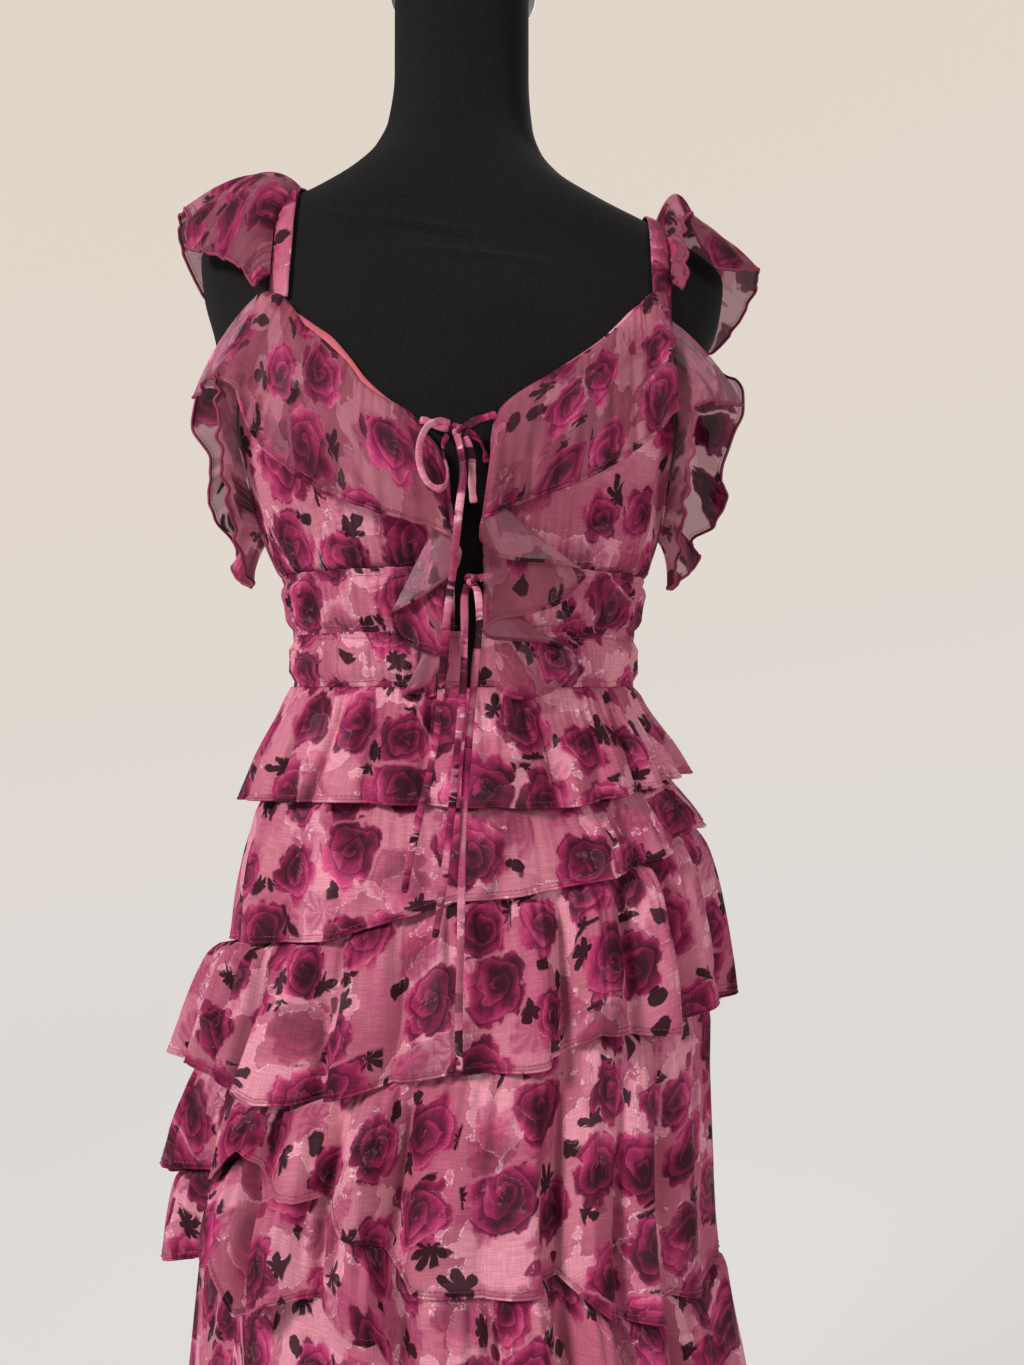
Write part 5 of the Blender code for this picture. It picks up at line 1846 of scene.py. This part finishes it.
# Ties: x, y, z in mm from the knot to the free end, or round a loop
TIE_CORDS = {
    "tie_top_left": read_rows("""
        -1 -140 1201; -8 -137 1203; -15 -134 1207; -19 -131 1208
    """),
    "tie_top_right": read_rows("""
        9 -140 1202; 15 -139 1206; 22 -136 1209; 27 -133 1211
    """),
    "bow_loop_outer": read_rows("""
        0 -143 1203.5; -6 -145 1204; -13 -146 1201; -17 -147 1193; -18 -149 1183; -16 -151 1173;
        -12 -152 1166; -6 -152 1163; -2 -151 1166; -1 -150 1173; -3 -149 1182; -4 -148 1190;
        -1.4 -146 1195.6
    """),
    "bow_loop_right": read_rows("""
        9 -144 1198; 14 -143 1196; 18 -142 1192; 20.5 -140 1186; 21.5 -139 1181
    """),
    "tail_top_long": read_rows("""
        3.8 -143.8 1196.5; 6 -148 1188; 8 -152 1172; 6 -154 1153; 4 -154 1133; 2 -153 1113;
        -1 -152 1092; -3 -151 1068; -5 -150 1045; -8 -149 1018; -13 -148 992; -19 -147 967;
        -24 -146 944; -27 -145 926
    """),
    "tail_top_short": read_rows("""
        8.5 -144 1195; 12 -144 1187; 13 -145 1177; 13 -145 1165; 14 -144 1156
    """),
    "tie_mid_right": read_rows("""
        16.35 -129.1 1112.8; 20.6 -125.4 1114.8; 23.2 -121 1116.6
    """),
    "tail_mid_left": read_rows("""
        9.7 -131.9 1109; 8.2 -136.5 1101; 8.3 -141.5 1082; 8 -144 1055; 6 -144.5 1027;
        3 -144.5 1000; 1 -144 975; -2 -143.5 950; -5 -143 925; -9 -142.5 899
    """),
    "tail_mid_right": read_rows("""
        14.3 -131.9 1109; 16.4 -136 1101; 17 -139 1085; 15 -140 1062; 13 -140.5 1038;
        10 -140.5 1005; 7.5 -140 965; 6.5 -140.5 925; 6 -141.5 890; 5 -143.5 855; 5.5 -146 822
    """),
}


def tube(
    name: str, path: np.ndarray, half: tuple[float, float], shift: tuple[float, float],
    facing: np.ndarray, closed: bool = False, sides: int = 12,
) -> bpy.types.Mesh:
    """Sweep a flat oval along a path.

    Args:
        name: The mesh's name.
        path: Points to follow, in metres.
        half: Half the width and half the thickness.
        shift: Offset of the cloth coordinates.
        facing: The way the flat side looks, one vector a point.
        closed: Whether the path is a ring.
        sides: Points round the oval.

    Returns:
        The mesh, closed, with its UV map.
    """
    along = np.roll(path, -1, 0) - np.roll(path, 1, 0) if closed else np.gradient(path, axis=0)
    along /= np.linalg.norm(along, axis=1, keepdims=True)
    out = facing - along * (facing * along).sum(1, keepdims=True)
    out /= np.linalg.norm(out, axis=1, keepdims=True)
    beside = np.cross(along, out)
    angle = np.linspace(0, TWO_PI, sides, endpoint=False)
    taper = np.ones(len(path))
    if not closed:
        taper[[0, -1]] = 0.72
    grid = path[:, None] + taper[:, None, None] * (
        np.cos(angle)[None, :, None] * beside[:, None] * half[0]
        + np.sin(angle)[None, :, None] * out[:, None] * half[1]
    )
    form = bmesh.new()
    layer = form.loops.layers.uv.new(UV_NAME)
    rings = [[form.verts.new(p) for p in ring] for ring in grid]
    run = run_along(path)
    pairs = len(path) if closed else len(path) - 1
    for i in range(pairs):
        after = (i + 1) % len(path)
        for j in range(sides):
            k = (j + 1) % sides
            face = form.faces.new((rings[i][j], rings[after][j], rings[after][k], rings[i][k]))
            marks = [(j, i), (j, i + 1), (j + 1, i + 1), (j + 1, i)]
            for corner, (step, spot) in zip(face.loops, marks):
                length = run[min(spot, len(run) - 1)]
                corner[layer].uv = (shift[0] + step / sides * 2.4 * half[0], shift[1] - length)
    if not closed:
        for ring in (rings[0], rings[-1]):
            face = form.faces.new(ring)
            for corner in face.loops:
                corner[layer].uv = shift
    return finished(form, bpy.data.meshes.new(name))


@dataclass
class Ties:
    """The two front ties: knots, loops and free tails of flat self-cloth ribbon."""

    width: float = 0.0048
    thickness: float = 0.0017
    knot_scale: float = 0.00118
    knot_half: float = 0.00125

    def build(self, room: Workroom) -> None:
        made = {name: self._ribbon(room, name, i) for i, name in enumerate(TIE_CORDS)}
        knots = {"knot_top": TOP_KNOT, "knot_middle": MID_KNOT}
        tied = {name: self._knot(room, name, centre) for name, centre in knots.items()}

    def _ribbon(
        self, room: Workroom, name: str, index: int
    ) -> tuple[bpy.types.Object, np.ndarray]:
        """Sweep one ribbon along its route."""
        table = TIE_CORDS[name]
        path = smooth_rows(table, 9 * len(table)) / 1000
        share = np.linspace(0, 1, len(path))
        turn = 0.55 * np.sin(TWO_PI * share * (0.8 + 0.2 * index) + index)
        if "loop" in name:
            turn = turn + 1.1
        facing = np.stack([np.sin(turn), -np.cos(turn), 0 * turn], axis=1)
        half = (self.width / 2, self.thickness / 2)
        mesh = tube(name + "_ribbon", path, half, (0.31 * index, 0.17 * index), facing)
        return room.stand_in(name, mesh, "printed_chiffon", room.finishes.face), path

    def _knot(self, room: Workroom, name: str, centre: tuple) -> bpy.types.Object:
        """Tie a small overhand knot from one ring of ribbon."""
        t = np.linspace(0, TWO_PI, 72, endpoint=False)
        x = np.sin(t) + 2 * np.sin(2 * t)
        z = np.cos(t) - 2 * np.cos(2 * t)
        y = -1.3 * np.sin(3 * t)
        ring = np.stack([x, y, z], axis=1) * self.knot_scale + np.array(centre) / 1000
        facing = ring - ring.mean(0) + np.array([0, -0.002, 0])
        mesh = tube(name + "_tied", ring, (self.knot_half * 1.25, self.knot_half), (1.9, 0.8),
                    facing, closed=True, sides=10)
        return room.stand_in(name, mesh, "printed_chiffon", room.finishes.face)


@dataclass
class Studio:
    """Camera, pale room and soft light."""

    lens: float = 27.06
    camera_place: tuple[float, float, float] = (0.0365, -0.75, 1.05)
    room_radius: float = 4.5

    def build(self, finishes: Finishes) -> None:
        """Make the camera, the lights, the sky and the floor."""
        self._camera()
        self._lights()
        self._floor(finishes)
        bpy.context.scene.view_settings.view_transform = "Standard"

    def _camera(self) -> None:
        """Put a level camera where the photograph was taken from."""
        data = bpy.data.cameras.new("view")
        data.sensor_width = 36
        data.lens = self.lens
        data.clip_start = 0.02
        data.clip_end = 60
        camera = bpy.data.objects.new("view", data)
        camera.location = self.camera_place
        camera.rotation_euler = (math.radians(90), 0, 0)
        bpy.context.scene.collection.objects.link(camera)
        bpy.context.scene.camera = camera

    def _lights(self) -> None:
        """Hang a large soft key at the left, a weaker fill at the right and a light behind."""
        # Name, place, size, watts and tint
        rows = [
            ("key", (-2.1, -1.9, 2.5), 0.8, 104.0, (1.0, 0.98, 0.96)),
            ("fill", (2.0, -2.3, 1.9), 1.2, 38.0, (1.0, 0.96, 0.93)),
            ("back", (0.8, 2.4, 2.4), 2.0, 30.0, (1.0, 0.98, 0.97)),
        ]
        for name, place, size, power, tint in rows:
            data = bpy.data.lights.new(name, "AREA")
            data.shape = "DISK"
            data.size = size
            data.energy = power
            data.color = tint
            light = bpy.data.objects.new(name, data)
            light.location = place
            aim = Vector((0.0, 0.0, 1.0)) - Vector(place)
            light.rotation_euler = aim.to_track_quat("-Z", "Y").to_euler()
            bpy.context.scene.collection.objects.link(light)
        world = bpy.data.worlds.new("soft_sky")
        world.use_nodes = True
        sky = world.node_tree.nodes["Background"]
        sky.inputs["Color"].default_value = (1.0, 0.965, 0.93, 1)
        sky.inputs["Strength"].default_value = 0.19
        bpy.context.scene.world = world

    def _floor(self, finishes: Finishes) -> None:
        """Lay the floor and, far away all round, a pale wall that only the camera sees."""
        reach = self.room_radius
        floor = turned("floor", [(0, 0), (reach, 0), (reach, -0.02), (0, -0.02)], 96)
        ball = [(reach * 1.4 * math.sin(a), -reach * 1.4 * math.cos(a))
                for a in np.linspace(0, math.pi, 33)]
        ball[0], ball[-1] = (0, ball[0][1]), (0, ball[-1][1])
        wall = turned("wall", ball, 96)
        for mesh, finish in ((floor, finishes.floor), (wall, finishes.wall)):
            thing = bpy.data.objects.new(mesh.name, mesh)
            thing.data.materials.append(finish)
            bpy.context.scene.collection.objects.link(thing)
            if mesh is wall:
                thing.visible_diffuse = False
                thing.visible_glossy = False
                thing.visible_shadow = False
                thing.visible_transmission = False


def build_bodice(room: Workroom) -> None:
    """Make the three bodice panels and the two waist bands."""
    BodicePanel("bodice_front_left", BODICE_TOP_LEFT, 230, 6, 21, (0.10, 0.35), True).build(room)
    BodicePanel("bodice_front_right", BODICE_TOP_RIGHT[::-1], 230, 6, 22, (0.52, 0.21)).build(room)
    BodicePanel("bodice_back", BODICE_TOP_BACK, 330, 7, 23, (1.30, 0.62), rows=28).build(room)
    WaistBand("waist_band_upper", 1.0828, 1.1216, 0.0042, 19, 31, (0.05, 1.42)).build(room)
    WaistBand("waist_band_lower", 1.0475, 1.0822, 0.0038, 19, 33, (0.41, 1.77),
              edges=(4.6, 361.4)).build(room)


def build_flounces(room: Workroom) -> None:
    """Make the neck, armhole and strap flounces and the straps."""
    NeckFlounce("neck_flounce_left", NECK_LEFT, False, 41, (2.20, 0.10),
                "bodice_front_left_cloth", columns=460).build(room)
    NeckFlounce("neck_flounce_right", NECK_RIGHT, True, 42, (2.93, 0.44),
                "bodice_front_right_cloth", columns=480).build(room)
    ArmholeFlounce("armhole_flounce_left", HEM_LEFT, True, 43, (3.31, 0.90),
                   "bodice_front_left_cloth", dark_hem=True).build(room)
    ArmholeFlounce("armhole_flounce_right", HEM_RIGHT, False, 44, (3.77, 1.23),
                   "bodice_front_right_cloth", dark_hem=True).build(room)
    Strap("strap_left", -0.1170, 51, (4.10, 0.30)).build(room)
    Strap("strap_right", 0.1370, 52, (4.50, 0.70)).build(room)
    StrapRuffle("strap_ruffle_left", RUFFLE_LEFT, True, 45, (4.91, 1.10), "strap_left_cloth",
                columns=260, dark_hem=True, edge_x=-0.1246, over=0.011).build(room)
    StrapRuffle("strap_ruffle_right", RUFFLE_RIGHT, False, 46, (5.33, 0.55), "strap_right_cloth",
                columns=260, dark_hem=True, edge_x=0.1449, over=0.004).build(room)


def build_skirt(room: Workroom) -> None:
    """Make the five tiers and the lower skirt."""
    for i, name in enumerate(TIER_ORDER):
        sizes = {"columns": 400, "rows": 30} if name == "lower_skirt" else {}
        SkirtTier(name, shift=(0.37 * i + 0.08, 2.3 + 0.61 * i), **sizes).build(room)


def main() -> None:
    """Build the whole dress on its form, and its studio."""
    logging.basicConfig(level=logging.INFO, format="%(message)s")
    for thing in list(bpy.data.objects):
        bpy.data.objects.remove(thing)
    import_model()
    finishes = Finishes.make()
    collection = bpy.data.collections.new("maxi_dress_on_dress_form")
    bpy.context.scene.collection.children.link(collection)
    Studio().build(finishes)
    room = Workroom(finishes, HemTrees(), collection)
    Ties().build(room)
    DressForm().build(room)
    build_bodice(room)
    build_flounces(room)
    build_skirt(room)


if __name__ == "__main__":
    main()
